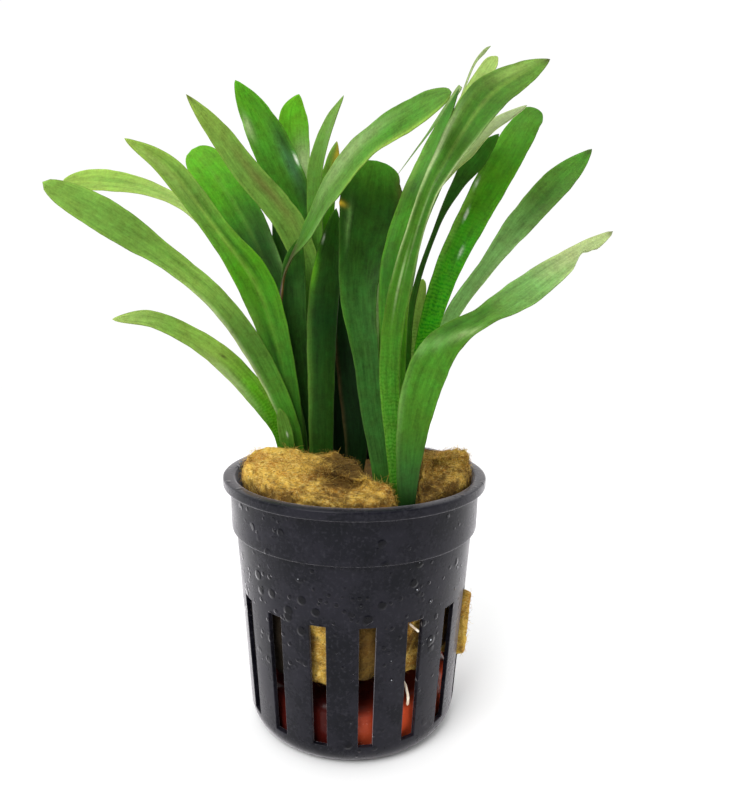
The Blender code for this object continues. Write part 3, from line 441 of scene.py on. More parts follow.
# Marks on the leaves: place along (0 foot, 1 tip), place across (-1 left, 1 right),
# reach along, reach across, colour, strength
MARKS = {
    "leaf_far_left": [
        (0.35, -1.0, 0.18, 0.24, CREAM, 0.7), (0.50, -1.0, 0.10, 0.22, CREAM, 0.5),
        (0.66, 0.25, 0.10, 0.18, GRASS, 0.35), (0.85, 0.2, 0.12, 0.3, OLIVE, 0.6)],
    "leaf_left_drooping": [
        (0.82, 0.1, 0.16, 0.16, OLIVE, 0.7), (0.84, -0.45, 0.12, 0.10, OLIVE, 0.5),
        (0.97, 0.0, 0.03, 0.6, STRAW, 0.6)],
    "leaf_left_folded": [
        # The dark band right of the midrib is painted shade on that side of the fold
        (0.70, 0.05, 0.25, 0.10, STRAW, 0.7), (0.66, 0.36, 0.22, 0.14, DEEP, 0.7),
        (0.38, -0.38, 0.07, 0.20, DARK, 0.75), (0.46, -0.95, 0.05, 0.3, YELLOW_GREEN, 0.5),
        (0.92, -0.3, 0.08, 0.3, PALE_LIME, 0.5)],
    "leaf_left_broad": [
        (0.68, 0.45, 0.12, 0.6, BOTTLE, 0.5), (0.62, 0.2, 0.08, 0.9, DARK, 0.75),
        (0.80, -0.05, 0.16, 0.06, YELLOW_GREEN, 0.5), (0.60, 0.9, 0.10, 0.18, SILVER, 0.5)],
    "leaf_back_left_red": [
        (0.74, 0.25, 0.12, 0.35, RUST, 0.5), (0.80, -0.35, 0.14, 0.10, YELLOW_GREEN, 0.5),
        (1.0, 0.0, 0.02, 1.0, UMBER, 0.7)],
    "leaf_back_left_tall": [
        # A painted bluish sheen and a painted glint on the right of this blade
        (0.76, 0.55, 0.08, 0.28, BLUISH_SHEEN, 0.8), (0.68, 0.55, 0.05, 0.3, DARK, 0.8),
        (0.82, 0.7, 0.06, 0.25, DARK, 0.7), (0.767, 0.88, 0.012, 0.06, GLINT, 0.7),
        (0.88, -0.75, 0.03, 0.2, CREAM, 0.6)],
    "leaf_back_bright": [(0.80, 0.5, 0.06, 0.6, CREAM, 0.75)],
    "leaf_back_short": [(0.95, 0.55, 0.05, 0.6, OCHRE, 0.9)],
    "leaf_front_arching": [
        # The grey-green patch on its upper half is a painted sheen
        (0.76, -0.55, 0.10, 0.45, GREY_GREEN, 0.8), (0.86, 0.95, 0.12, 0.22, STRAW, 0.8),
        (0.62, 0.8, 0.07, 0.3, SILVER, 0.5), (0.50, 0.0, 0.03, 1.2, UMBER, 0.7),
        (0.43, 0.8, 0.03, 0.3, OCHRE, 0.3)],
    "leaf_centre_upright": [
        (0.40, -0.9, 0.30, 0.22, MOSS, 0.7), (0.78, -0.95, 0.07, 0.3, SPRING, 0.9),
        # A painted glint on the left margin
        (0.89, -0.8, 0.012, 0.08, GLINT, 0.5)],
    "leaf_centre_spoon": [
        (0.80, -0.66, 0.06, 0.08, SILVER, 0.6), (0.90, 0.95, 0.06, 0.14, RUST, 0.4),
        # The ochre spot on the left margin is a painted glint
        (0.845, -1.0, 0.012, 0.2, OCHRE, 0.9), (0.55, -0.95, 0.10, 0.20, GRASS, 0.4),
        (0.95, -0.2, 0.05, 0.5, GRASS, 0.5)],
    "leaf_right_slender": [
        (0.74, -0.7, 0.10, 0.3, YELLOW_GREEN, 0.6), (0.55, -0.85, 0.12, 0.25, GRASS, 0.5)],
    "leaf_right_top": [
        # The ivory marks are painted highlights, on the left margin and as a thin line
        (0.73, -0.82, 0.07, 0.14, IVORY_HIGHLIGHT, 0.5), (0.58, -0.96, 0.08, 0.14, CREAM, 0.6),
        (0.66, 0.97, 0.12, 0.10, CREAM, 0.8), (0.84, 0.02, 0.13, 0.05, STRAW, 0.6),
        (0.87, -0.3, 0.05, 0.6, DEEP, 0.4), (0.80, -0.6, 0.08, 0.12, OLIVE, 0.6),
        (0.93, -0.5, 0.05, 0.4, PALE_LIME, 0.6), (0.60, 0.5, 0.12, 0.3, DEEP, 0.6),
        (1.0, 0.0, 0.015, 1.0, UMBER, 0.9), (0.40, 0.5, 0.20, 0.3, DEEP, 0.5),
        (0.47, -0.2, 0.05, 0.035, IVORY_HIGHLIGHT, 0.5), (0.60, 0.15, 0.10, 0.04, GREY_GREEN, 0.6)],
    "leaf_right_bright": [
        # Three painted glints of water drops
        (0.763, -0.80, 0.010, 0.06, GLINT, 1.0), (0.685, -0.50, 0.011, 0.06, GLINT, 1.0),
        (0.60, 0.4, 0.011, 0.06, GLINT, 1.0), (0.66, -0.8, 0.14, 0.25, YELLOW_GREEN, 0.6),
        (0.95, -0.3, 0.04, 0.5, MOSS, 0.6)],
    "leaf_right_grey": [
        (0.80, 0.1, 0.10, 0.25, DEEP, 0.5), (0.86, -0.6, 0.06, 0.3, MOSS, 0.5),
        (0.57, 0.7, 0.08, 0.3, GREY_GREEN, 0.6), (0.99, 0.0, 0.015, 1.0, UMBER, 0.6)],
    "leaf_front_right_twisted": [
        (0.44, -0.80, 0.02, 0.25, SILVER, 0.8), (0.47, -0.35, 0.02, 0.25, SILVER, 0.8),
        (0.505, 0.0, 0.02, 0.22, SILVER, 0.8), (0.53, 0.3, 0.02, 0.22, GREY_GREEN, 0.8),
        (0.555, 0.65, 0.02, 0.22, GREY_GREEN, 0.7), (0.53, -0.55, 0.04, 0.35, DEEP, 0.8),
        (0.60, -0.5, 0.035, 0.4, DEEP, 0.8), (0.58, 0.05, 0.02, 0.2, DEEP, 0.5),
        (0.78, 0.5, 0.10, 0.3, SILVER, 0.6), (0.30, -0.9, 0.10, 0.2, SILVER, 0.5),
        (0.995, 0.0, 0.010, 1.0, UMBER, 0.8)],
    "leaf_low_left": [
        (0.571, 0.15, 0.014, 0.12, UMBER, 0.85), (0.33, 0.8, 0.10, 0.3, STRAW, 0.6),
        (0.47, -0.8, 0.14, 0.40, CREAM, 0.6)],
    "leaf_centre_back": [(0.5, -0.9, 0.5, 0.12, RUST, 0.3)],
    "leaf_centre_rear": [(0.5, 0.9, 0.5, 0.12, RUST, 0.3)],
    # A painted shadow low on the stub and a painted glint
    "leaf_left_stub": [(0.30, 0.6, 0.12, 0.5, SHADOW_GREEN, 0.9), (0.63, 0.2, 0.03, 0.10, GLINT, 0.5)],
}

# Torn tips: the share of the leaf's length where the tear in its right part is deepest, and
# how far across it gets
TEARS = {"leaf_front_right_twisted": (0.898, 0.05)}

# Wool chunks: plan outline as x, y, top height at each corner
LEFT_CHUNK = [
    (-21.4, -4.2, 57.0), (-16.5, -1.2, 57.0), (-11.0, -0.9, 56.0), (-5.0, -0.9, 55.8), (-0.5, -4.5, 55.6),
    (1.5, -10.0, 55.4), (2.7, -17.8, 55.4), (6.4, -19.9, 54.6), (6.9, -22.6, 53.4), (1.5, -23.9, 52.6),
    (-5.5, -23.2, 52.8), (-12.5, -20.4, 53.4), (-18.1, -15.1, 54.4), (-21.7, -9.3, 56.0)]
RIGHT_CHUNK = [
    (13.8, -6.0, 55.6), (14.4, 2.0, 54.6), (11.5, 10.0, 53.6), (9.5, 20.5, 52.6), (16.0, 17.5, 52.6),
    (20.6, 11.8, 53.8), (22.8, 4.0, 56.0), (23.5, -3.2, 56.4), (22.8, -6.6, 55.0), (20.8, -10.8, 53.6),
    (17.0, -16.2, 52.8), (11.7, -20.7, 52.4), (12.4, -14.0, 54.6)]

# White roots that show in the slots: radius, then the route
ROOTS = {
    "root_upper": (0.22, [(10.2, -20.4, 28.6), (11.2, -20.3, 27.6), (12.1, -20.1, 26.7)]),
    "root_lower": (
        0.26, [(9.0, -18.9, 17.0), (9.9, -19.3, 15.4), (10.4, -20.0, 13.4), (10.3, -20.2, 11.8)]),
}


# Numbers and meshes

def fade(values, start, end):
    """From 0 at start to 1 at end along a straight line, and level beyond both."""
    return np.clip((values - start) / (end - start), 0.0, 1.0)


def spot(distance, reach):
    """A soft round spot: 1 in its middle, exp(-(distance / reach)^2) away from it."""
    return np.exp(-(distance / reach) ** 2)


def full_turn(count):
    """That many angles, evenly spaced round a full turn."""
    return np.linspace(0.0, 2.0 * math.pi, count + 1)[:-1]


def squared(wave, power):
    """A sine or cosine made squarer: its sign, times its size to a power under one."""
    return np.sign(wave) * np.abs(wave) ** power


def turned(first, second, angles):
    """Directions round each pair of crossed ones: first * cos(angle) + second * sin(angle)."""
    cosine, sine = np.cos(angles)[:, None], np.sin(angles)[:, None]
    return first[:, None] * cosine + second[:, None] * sine


def round_axis(radius, angles, heights):
    """Points round the pot's axis: x = radius * sin(angle), y = -radius * cos(angle)."""
    places = np.broadcast_arrays(radius * np.sin(angles), -radius * np.cos(angles), heights)
    return np.stack(places, axis=-1)


def lattice_noise(points, size, seed):
    """Smooth noise from -1 to 1: random values on a cubic lattice, eased between its corners."""
    table = np.random.default_rng(seed).uniform(-1.0, 1.0, (32, 32, 32))
    places = np.asarray(points, float) / size + 0.37 * seed
    cell = np.floor(places).astype(int)
    part = places - cell
    part = part * part * (3.0 - 2.0 * part)
    total = np.zeros(places.shape[:-1])
    for corner in range(8):
        step = np.array([corner & 1, corner >> 1 & 1, corner >> 2 & 1])
        share = np.prod(np.where(step, part, 1.0 - part), axis=-1)
        index = (cell + step) % 32
        total += share * table[index[..., 0], index[..., 1], index[..., 2]]
    return total


def lumpy(points, seed, *layers):
    """Lattice noises added up; each layer is its strength and its size, with the next seed."""
    return sum(
        strength * lattice_noise(points, size, seed + n) for n, (strength, size) in enumerate(layers))


def ripple(places, length, seed):
    """Uneven wave from -1 to 1 along a line: three sines of about that length with seeded phases."""
    phases = np.random.default_rng(seed).uniform(0.0, 2.0 * math.pi, 3)
    wave = np.sin(2.0 * math.pi * places / length + phases[0])
    wave = wave + 0.6 * np.sin(2.0 * math.pi * places / (0.57 * length) + phases[1])
    return (wave + 0.4 * np.sin(2.0 * math.pi * places / (0.31 * length) + phases[2])) / 2.0


def eased(stations, steps):
    """Catmull-Rom curve through the stations, with that many points in each span."""
    points = np.array(stations, float)
    padded = np.vstack([2.0 * points[0] - points[1], points, 2.0 * points[-1] - points[-2]])
    before, start, end, after = (padded[i:len(padded) - 3 + i, None] for i in range(4))
    t = (np.arange(steps) / steps)[None, :, None]
    curve = 0.5 * (
        2.0 * start + (end - before) * t
        + (2.0 * before - 5.0 * start + 4.0 * end - after) * t ** 2
        + (3.0 * start - before - 3.0 * end + after) * t ** 3)
    return np.vstack([curve.reshape(-1, points.shape[1]), points[-1]])


def unit(vectors):
    """The vectors at length one."""
    return vectors / np.maximum(np.linalg.norm(vectors, axis=-1, keepdims=True), 1e-12)


def grid_quads(rows, columns, loop=True):
    """Corner numbers of a grid's quads; with loop the last column joins the first."""
    low = (np.arange(rows - 1) * columns)[:, None]
    column = np.arange(columns if loop else columns - 1)[None, :]
    after = (column + 1) % columns
    corners = [low + column, low + after, low + columns + after, low + columns + column]
    return np.stack(corners, axis=-1).reshape(-1, 4)


def closed_grid(rows, columns):
    """The quads of a grid whose columns join in a ring, and a face over its first and last row."""
    first = list(range(columns))[::-1]
    last = list(range((rows - 1) * columns, rows * columns))
    return grid_quads(rows, columns).tolist() + [first, last]


def make_piece(name, points, faces, material, nodes=()):
    """Put points in millimetres and faces in a new smooth object that rides on the root."""
    mesh = bpy.data.meshes.new(name)
    mesh.from_pydata(np.asarray(points, float).reshape(-1, 3) * MM, [], faces)
    mesh.validate()
    mesh.shade_smooth()
    mesh.materials.append(material)
    piece = bpy.data.objects.new(name, mesh)
    bpy.context.scene.collection.objects.link(piece)
    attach(piece, "root")
    if nodes:
        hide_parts(*nodes)
    return piece


def set_values(piece, name, values):
    """A number at each corner point of the mesh."""
    layer = piece.data.attributes.new(name, "FLOAT", "POINT")
    layer.data.foreach_set("value", np.asarray(values, np.float32).ravel())


def set_colours(piece, name, colours):
    """A linear colour at each corner point of the mesh."""
    colours = np.asarray(colours, np.float32).reshape(-1, 3)
    layer = piece.data.attributes.new(name, "FLOAT_COLOR", "POINT")
    layer.data.foreach_set("color", np.hstack([colours, np.ones((len(colours), 1), np.float32)]).ravel())


def set_map(piece, name, places):
    """A UV map whose two numbers are given at each corner point of the mesh."""
    mesh = piece.data
    corners = np.empty(len(mesh.loops), np.int32)
    mesh.loops.foreach_get("vertex_index", corners)
    layer = mesh.uv_layers.new(name=name)
    layer.uv.foreach_set("vector", np.asarray(places, np.float32).reshape(-1, 2)[corners].ravel())


# Node trees

def add(tree, kind, inputs=(), **settings):
    """A node of that kind; each input is a socket to link or a value to set."""
    made = tree.nodes.new("ShaderNode" + kind)
    for key, value in settings.items():
        setattr(made, key, value)
    pairs = inputs.items() if isinstance(inputs, dict) else enumerate(inputs)
    for key, value in pairs:
        if isinstance(value, bpy.types.NodeSocket):
            tree.links.new(value, made.inputs[key])
        elif value is not None:
            made.inputs[key].default_value = value
    return made


def maths(tree, operation, *inputs):
    """The result of a Math node."""
    return add(tree, "Math", inputs, operation=operation).outputs[0]


def times(tree, first, second):
    """One value times another."""
    return maths(tree, "MULTIPLY", first, second)


def plus(tree, base, extra, gain=1.0):
    """A value and that many times another."""
    return maths(tree, "MULTIPLY_ADD", extra, gain, base)


def ramp(tree, value, low, high, start=0.0, end=1.0):
    """The value carried smoothly from low..high to start..end."""
    made = add(tree, "MapRange", (value, low, high, start, end), interpolation_type="SMOOTHSTEP")
    return made.outputs[0]


def mixed(tree, share, first, second):
    """Two colours mixed by a share."""
    made = add(tree, "Mix", data_type="RGBA")
    for socket, value in ((made.inputs[0], share), (made.inputs[6], first), (made.inputs[7], second)):
        if isinstance(value, bpy.types.NodeSocket):
            tree.links.new(value, socket)
        elif isinstance(value, (int, float)):
            socket.default_value = value
        else:
            socket.default_value = (*value, 1.0)
    return made.outputs[2]


def noise(tree, places, scale, detail=3.0, roughness=0.55, distortion=0.0):
    """The value of a Noise Texture."""
    settings = {"Vector": places, "Scale": scale, "Detail": detail, "Roughness": roughness}
    return add(tree, "TexNoise", {**settings, "Distortion": distortion}).outputs[0]


def toned(tree, colour, hue=0.5, saturation=1.0, value=1.0):
    """A colour with its hue turned, and its saturation and lightness multiplied."""
    inputs = {"Hue": hue, "Saturation": saturation, "Value": value, "Color": colour}
    return add(tree, "HueSaturation", inputs).outputs[0]


def own_place(tree):
    """The point's place in its object, in metres."""
    return add(tree, "TexCoord").outputs["Object"]


def attribute(tree, name, output="Fac"):
    """A value, or a colour, stored on the mesh under that name."""
    return add(tree, "Attribute", attribute_name=name).outputs[output]


def relief(tree, height, strength, depth, under=None):
    """The normals of a Bump node of that height and depth, over another relief if it is given."""
    inputs = {"Strength": strength, "Distance": depth, "Height": height, "Normal": under}
    return add(tree, "Bump", inputs).outputs[0]


def new_group(name, inputs, outputs):
    """A shader node group with its named sockets, and its input and output nodes."""
    group = bpy.data.node_groups.new(name, "ShaderNodeTree")
    for title, kind, value in inputs:
        socket = group.interface.new_socket(name=title, in_out="INPUT", socket_type=kind)
        socket.default_value = value
    for title, kind in outputs:
        group.interface.new_socket(name=title, in_out="OUTPUT", socket_type=kind)
    return group, group.nodes.new("NodeGroupInput"), group.nodes.new("NodeGroupOutput")


def new_material(name, colour, roughness, **settings):
    """A material with its Principled BSDF, and its fixed numbers set on the shader."""
    material = bpy.data.materials.new(name)
    material.use_nodes = True
    shader = material.node_tree.nodes["Principled BSDF"]
    shader.inputs["Base Color"].default_value = (*colour, 1.0)
    shader.inputs["Roughness"].default_value = roughness
    for key, value in settings.items():
        shader.inputs[key.replace("_", " ")].default_value = value
    return material, material.node_tree, shader


def put_on(tree, shader, colour, normal, roughness=None):
    """Link a colour, a relief and, if there is one, a roughness to the shader."""
    tree.links.new(colour, shader.inputs["Base Color"])
    tree.links.new(normal, shader.inputs["Normal"])
    if roughness is not None:
        tree.links.new(roughness, shader.inputs["Roughness"])


# Finishes

def blade_group():
    """Leaf pattern: veins drawn out along the blade, mottling, a net of cells and a thin margin."""
    group, given, result = new_group(
        "leaf_blade",
        [("Veins", "NodeSocketFloat", 0.3), ("Mottle", "NodeSocketFloat", 0.3),
         ("Margin", "NodeSocketFloat", 0.6), ("Margin Color", "NodeSocketColor", (*UMBER, 1.0))],
        [("Color", "NodeSocketColor"), ("Roughness", "NodeSocketFloat"), ("Height", "NodeSocketFloat")])
    edge = attribute(group, "edge")
    cells = attribute(group, "cells")
    place = own_place(group)
    blade = add(group, "UVMap", uv_map="blade").outputs[0]
    across, along = add(group, "SeparateXYZ", (blade,)).outputs[:2]

    def drawn(per_width, per_centimetre):
        """A place on the blade, with that many steps across it and along each centimetre."""
        steps = (times(group, across, per_width), times(group, along, per_centimetre), 0.0)
        return add(group, "CombineXYZ", steps).outputs[0]

    streaks = noise(group, drawn(7.0, 1.4), 1.0, 3.0, 0.6)
    fine = noise(group, drawn(34.0, 2.2), 1.0, 2.0, 0.5)
    patches = noise(group, place, LEAF_PATCHES, 3.0, 0.6)
    blots = noise(group, place, LEAF_BLOTS, 3.0, 0.65)
    grain = noise(group, place, LEAF_GRAIN, 2.0, 0.7)

    # Veins
    bent = plus(group, across, streaks, 0.08)
    lines = maths(group, "SINE", times(group, bent, 2.0 * math.pi * LEAF_VEINS))
    lines = times(group, lines, ramp(group, patches, 0.4, 0.65, 0.1, 1.0))
    stripes = plus(group, plus(group, -1.2, fine, 2.4), lines, 0.25)

    # Net of cells: broken ribs across the blade
    wobble = noise(group, drawn(2.5, 2.5), 1.0, 2.0)
    wobble = plus(group, times(group, along, LEAF_RIBS), wobble, 2.4)
    ribs = maths(group, "SINE", times(group, wobble, 2.0 * math.pi))
    ribs = plus(group, 0.5, ribs, 0.5)
    broken = plus(group, -2.0, noise(group, drawn(8.0, 17.0), 1.0, 2.0), 4.0)
    cell = ramp(group, plus(group, ribs, broken), 0.3, 1.1)

    # Lightness
    uneven = plus(group, times(group, streaks, 1.1), patches, 0.6)
    uneven = plus(group, plus(group, uneven, blots, 0.7), -1.2)
    uneven = times(group, uneven, given.outputs["Mottle"])
    value = plus(group, 1.0, times(group, stripes, given.outputs["Veins"]))
    value = plus(group, value, uneven, 2.4)
    value = plus(group, value, plus(group, grain, -0.5), 0.6)
    value = maths(group, "MAXIMUM", value, 0.2)

    # Colour
    hue = ramp(group, plus(group, patches, blots), 0.7, 1.3, 0.494, 0.508)
    colour = toned(group, attribute(group, "tint", "Color"), hue, 1.0, value)
    deep = toned(group, colour, 0.51, 1.05, 0.74)
    lit = toned(group, colour, 0.498, 1.0, 1.1)
    colour = mixed(group, cells, colour, mixed(group, cell, lit, deep))
    edged = toned(group, colour, 0.48, 1.0, 1.5)
    colour = mixed(group, ramp(group, edge, 0.6, 0.15, 0.0, 0.3), colour, edged)
    margin = times(group, ramp(group, edge, 0.2, 0.06), ramp(group, patches, 0.35, 0.6, 0.2, 1.0))
    margin = times(group, margin, given.outputs["Margin"])
    colour = mixed(group, margin, colour, given.outputs["Margin Color"])
    group.links.new(colour, result.inputs["Color"])

    # Gloss and relief
    group.links.new(plus(group, 0.34, patches, 0.3), result.inputs["Roughness"])
    height = plus(group, times(group, stripes, 0.3), streaks, 0.6)
    height = plus(group, height, grain, 0.05)
    height = plus(group, height, times(group, cell, cells), 0.9)
    group.links.new(height, result.inputs["Height"])
    return group


def leaf_material(name, group, veins, mottle, margin, gloss):
    """A living leaf: its own tint and pattern, satin, and lit through a little."""
    material, tree, shader = new_material(
        name, GRASS, 0.45, Specular_IOR_Level=gloss, Subsurface_Weight=0.06,
        Subsurface_Radius=(0.6, 1.0, 0.2), Subsurface_Scale=0.0005)
    inputs = {"Veins": veins, "Mottle": mottle, "Margin": margin}
    colour, roughness, height = add(tree, "Group", inputs, node_tree=group).outputs
    put_on(tree, shader, colour, relief(tree, height, 0.5, LEAF_RELIEF), roughness)
    return material


def wet_beads(tree, place, scale, least, most):
    """Round beads in the cells of a pattern, wider by each cell's luck, and glints on the luckiest."""
    cell = add(tree, "TexVoronoi", {"Vector": place, "Scale": scale, "Randomness": 1.0})
    luck = add(tree, "SeparateColor", (cell.outputs["Color"],)).outputs[0]
    reach = ramp(tree, luck, 0.0, 1.0, least, most)
    away = maths(tree, "DIVIDE", cell.outputs["Distance"], reach)
    bead = times(tree, ramp(tree, away, 1.0, 0.55), maths(tree, "GREATER_THAN", luck, 0.45))
    shine = times(tree, ramp(tree, away, 0.24, 0.14), maths(tree, "GREATER_THAN", luck, 0.88))
    return bead, shine


def plastic_material():
    """Dark moulded plastic, satin, with fine scuffs and wet beads that gather round the slots' tops; the
    beads' glints are painted highlights.
    """
    material, tree, shader = new_material(
        "black_plastic", (0.012, 0.0125, 0.018), 0.32, Specular_IOR_Level=0.12,
        Sheen_Weight=0.58, Sheen_Roughness=0.3, Sheen_Tint=PLASTIC_SHEEN)
    place = own_place(tree)
    height = add(tree, "SeparateXYZ", (place,)).outputs[2]
    cloud = noise(tree, place, PLASTIC_CLOUD, 4.0, 0.6)
    fine = noise(tree, place, PLASTIC_FINE, 4.0, 0.65)
    colour = mixed(tree, ramp(tree, cloud, 0.35, 0.65), PLASTIC_DARK, PLASTIC_LIGHT)
    colour = mixed(tree, ramp(tree, fine, 0.5, 0.72, 0.0, 0.5), colour, PLASTIC_SCUFF)

    # Beads, gathered in a band round the slots' tops
    (large, large_shine), (small, small_shine) = [wet_beads(tree, place, *sizes) for sizes in BEADS]
    band = times(tree, ramp(tree, height, 0.018, 0.028), ramp(tree, height, 0.044, 0.032))
    gathered = plus(tree, noise(tree, place, BEAD_CLOUD, 2.0), band, 0.22)
    gathered = ramp(tree, gathered, 0.54, 0.66)
    wet = times(tree, maths(tree, "MAXIMUM", large, times(tree, small, 0.7)), gathered)
    glint = times(tree, maths(tree, "MAXIMUM", large_shine, small_shine), gathered)
    colour = mixed(tree, times(tree, wet, 0.9), colour, BEAD_DARK)
    # Painted highlights: the glints on the luckiest beads
    colour = mixed(tree, glint, colour, BEAD_SHINE)

    # Gloss and relief
    rough = ramp(tree, plus(tree, cloud, fine, 0.4), 0.5, 0.9, 0.20, 0.36)
    rough = times(tree, rough, ramp(tree, wet, 0.1, 0.6, 1.0, 0.15))
    scuffs = relief(tree, fine, 0.4, PLASTIC_RELIEF)
    put_on(tree, shader, colour, relief(tree, wet, 1.0, BEAD_RELIEF, scuffs), rough)
    return material


def clay_material():
    """Wet fired clay with pores: red-orange on the right as painted light, darker on the left and at its
    top as painted shade.
    """
    material, tree, shader = new_material("wet_clay", (0.62, 0.10, 0.04), 0.2, Specular_IOR_Level=0.1)
    place = own_place(tree)
    split = add(tree, "SeparateXYZ", (place,)).outputs
    across, height = split[0], split[2]
    cloud = noise(tree, place, CLAY_CLOUD, 4.0, 0.6)
    grain = noise(tree, place, CLAY_GRAIN, 3.0, 0.6)
    colour = mixed(tree, ramp(tree, cloud, 0.3, 0.7), CLAY_DEEP, CLAY_RED)
    colour = mixed(tree, ramp(tree, grain, 0.6, 0.75, 0.0, 0.5), colour, CLAY_PORE)
    # Painted shade on the left and on the top, painted light in orange on the right
    colour = mixed(tree, ramp(tree, across, 0.001, -0.004, 0.0, 0.9), colour, CLAY_SHADE)
    colour = mixed(tree, ramp(tree, across, 0.003, 0.008, 0.0, 0.9), colour, CLAY_LIT_ORANGE)
    colour = mixed(tree, ramp(tree, height, 0.0085, 0.0112, 0.0, 0.85), colour, CLAY_TOP_SHADE)
    raised = relief(tree, plus(tree, cloud, grain, 0.4), 0.6, CLAY_RELIEF)
    put_on(tree, shader, colour, raised)
    return material


def wool_group():
    """Rock wool: golden strands over amber and brown, darker where speckled, with the painted light and
    shade of its tone, black where most shaded.
    """
    group, given, result = new_group(
        "rock_wool", [("Light", "NodeSocketFloat", 1.0)],
        [("Color", "NodeSocketColor"), ("Height", "NodeSocketFloat")])
    place = own_place(group)
    tone = attribute(group, "tone")
    lumps = noise(group, place, WOOL_LUMPS, 4.0, 0.65, 0.5)
    flecks = []
    for turn in STRAND_TURNS:
        laid = add(group, "Mapping", {"Vector": place, "Rotation": turn, "Scale": STRAND_STRETCH})
        flecks.append(noise(group, laid.outputs[0], WOOL_FLECKS, 3.0, 0.7, 1.2))
    strands = maths(group, "MAXIMUM", *flecks)
    hollows = ramp(group, maths(group, "MINIMUM", *flecks), 0.42, 0.28, 0.0, 0.75)
    specks = ramp(group, noise(group, place, WOOL_SPECKS, 2.0, 0.7), 0.56, 0.70, 0.0, 0.7)
    colour = mixed(group, ramp(group, lumps, 0.35, 0.62), WOOL_AMBER, WOOL_GOLD)
    colour = mixed(group, ramp(group, strands, 0.50, 0.68, 0.0, 0.8), colour, WOOL_STRAND)
    # The tone holds uneven wool together with painted light and shade: brown and black where low, bright
    # gold where high
    colour = mixed(group, ramp(group, tone, 0.55, 0.0, 0.0, 0.92), colour, WOOL_BROWN)
    colour = mixed(group, ramp(group, tone, 0.6, 1.0, 0.0, 0.7), colour, WOOL_BRIGHT)
    colour = mixed(group, specks, colour, WOOL_SPECK)
    colour = mixed(group, hollows, colour, WOOL_HOLLOW)
    colour = mixed(group, ramp(group, tone, 0.0, -0.6, 0.0, 0.95), colour, WOOL_SHADOW)
    colour = toned(group, colour, value=given.outputs["Light"])
    group.links.new(colour, result.inputs["Color"])
    group.links.new(plus(group, lumps, strands), result.inputs["Height"])
    return group


def wool_material(name, group, light):
    """Rough mineral fibre."""
    material, tree, shader = new_material(name, (0.42, 0.25, 0.06), 0.9, Specular_IOR_Level=0.12)
    colour, height = add(tree, "Group", {"Light": light}, node_tree=group).outputs
    put_on(tree, shader, colour, relief(tree, height, 0.9, WOOL_RELIEF))
    return material


def root_material():
    """Whitish root with brown flecks and a faint relief."""
    material, tree, shader = new_material("white_root", (0.72, 0.66, 0.52), 0.45)
    cloud = noise(tree, own_place(tree), ROOT_CLOUD, 3.0)
    colour = mixed(tree, ramp(tree, cloud, 0.35, 0.7), ROOT_TAN, ROOT_WHITE)
    put_on(tree, shader, colour, relief(tree, cloud, 0.5, ROOT_RELIEF))
    return material


# Leaves

def leaf_frame(stations):
    """Middle, side, front, width and length along the leaf, as the solid model lays its sections."""
    route = eased([station[:3] for station in stations], SPAN_STEPS)
    shape = eased([station[3:] for station in stations], SPAN_STEPS)
    along = unit(np.gradient(route, axis=0))
    across = unit(np.cross([0.0, 1.0, 0.0], along))
    back = np.cross(along, across)
    turn = np.radians(shape[:, 1])[:, None]
    side = across * np.cos(turn) + back * np.sin(turn)
    front = unit(np.cross(side, along))
    steps = np.linalg.norm(np.diff(route, axis=0), axis=1)
    return route, side, front, shape[:, 0], np.concatenate([[0.0], np.cumsum(steps)])


def leaf_width(width, roundness):
    """The stations' width, with the last span closed as a pointed (1) or round (2) tip."""
    width = width.copy()
    t = np.linspace(0.0, 1.0, SPAN_STEPS + 1)
    width[-SPAN_STEPS - 1:] = width[-SPAN_STEPS - 1] * (1.0 - t ** roundness) ** (1.0 / roundness)
    return np.maximum(width, 0.02)


def leaf_colours(name, share, across):
    """The leaf's colours eased along it, with its marks laid over them as soft ellipses."""
    stops = np.array(COLOURS[name])
    places = np.linspace(0.0, 1.0, len(stops))
    colours = np.stack([np.interp(share, places, stops[:, part]) for part in range(3)], axis=-1)
    for u, v, reach_along, reach_across, colour, strength in MARKS.get(name, ()):
        far = ((share - u) / reach_along) ** 2 + ((across - v) / reach_across) ** 2
        cover = strength * np.exp(-far)[..., None]
        colours = colours * (1.0 - cover) + np.array(colour) * cover
    return colours


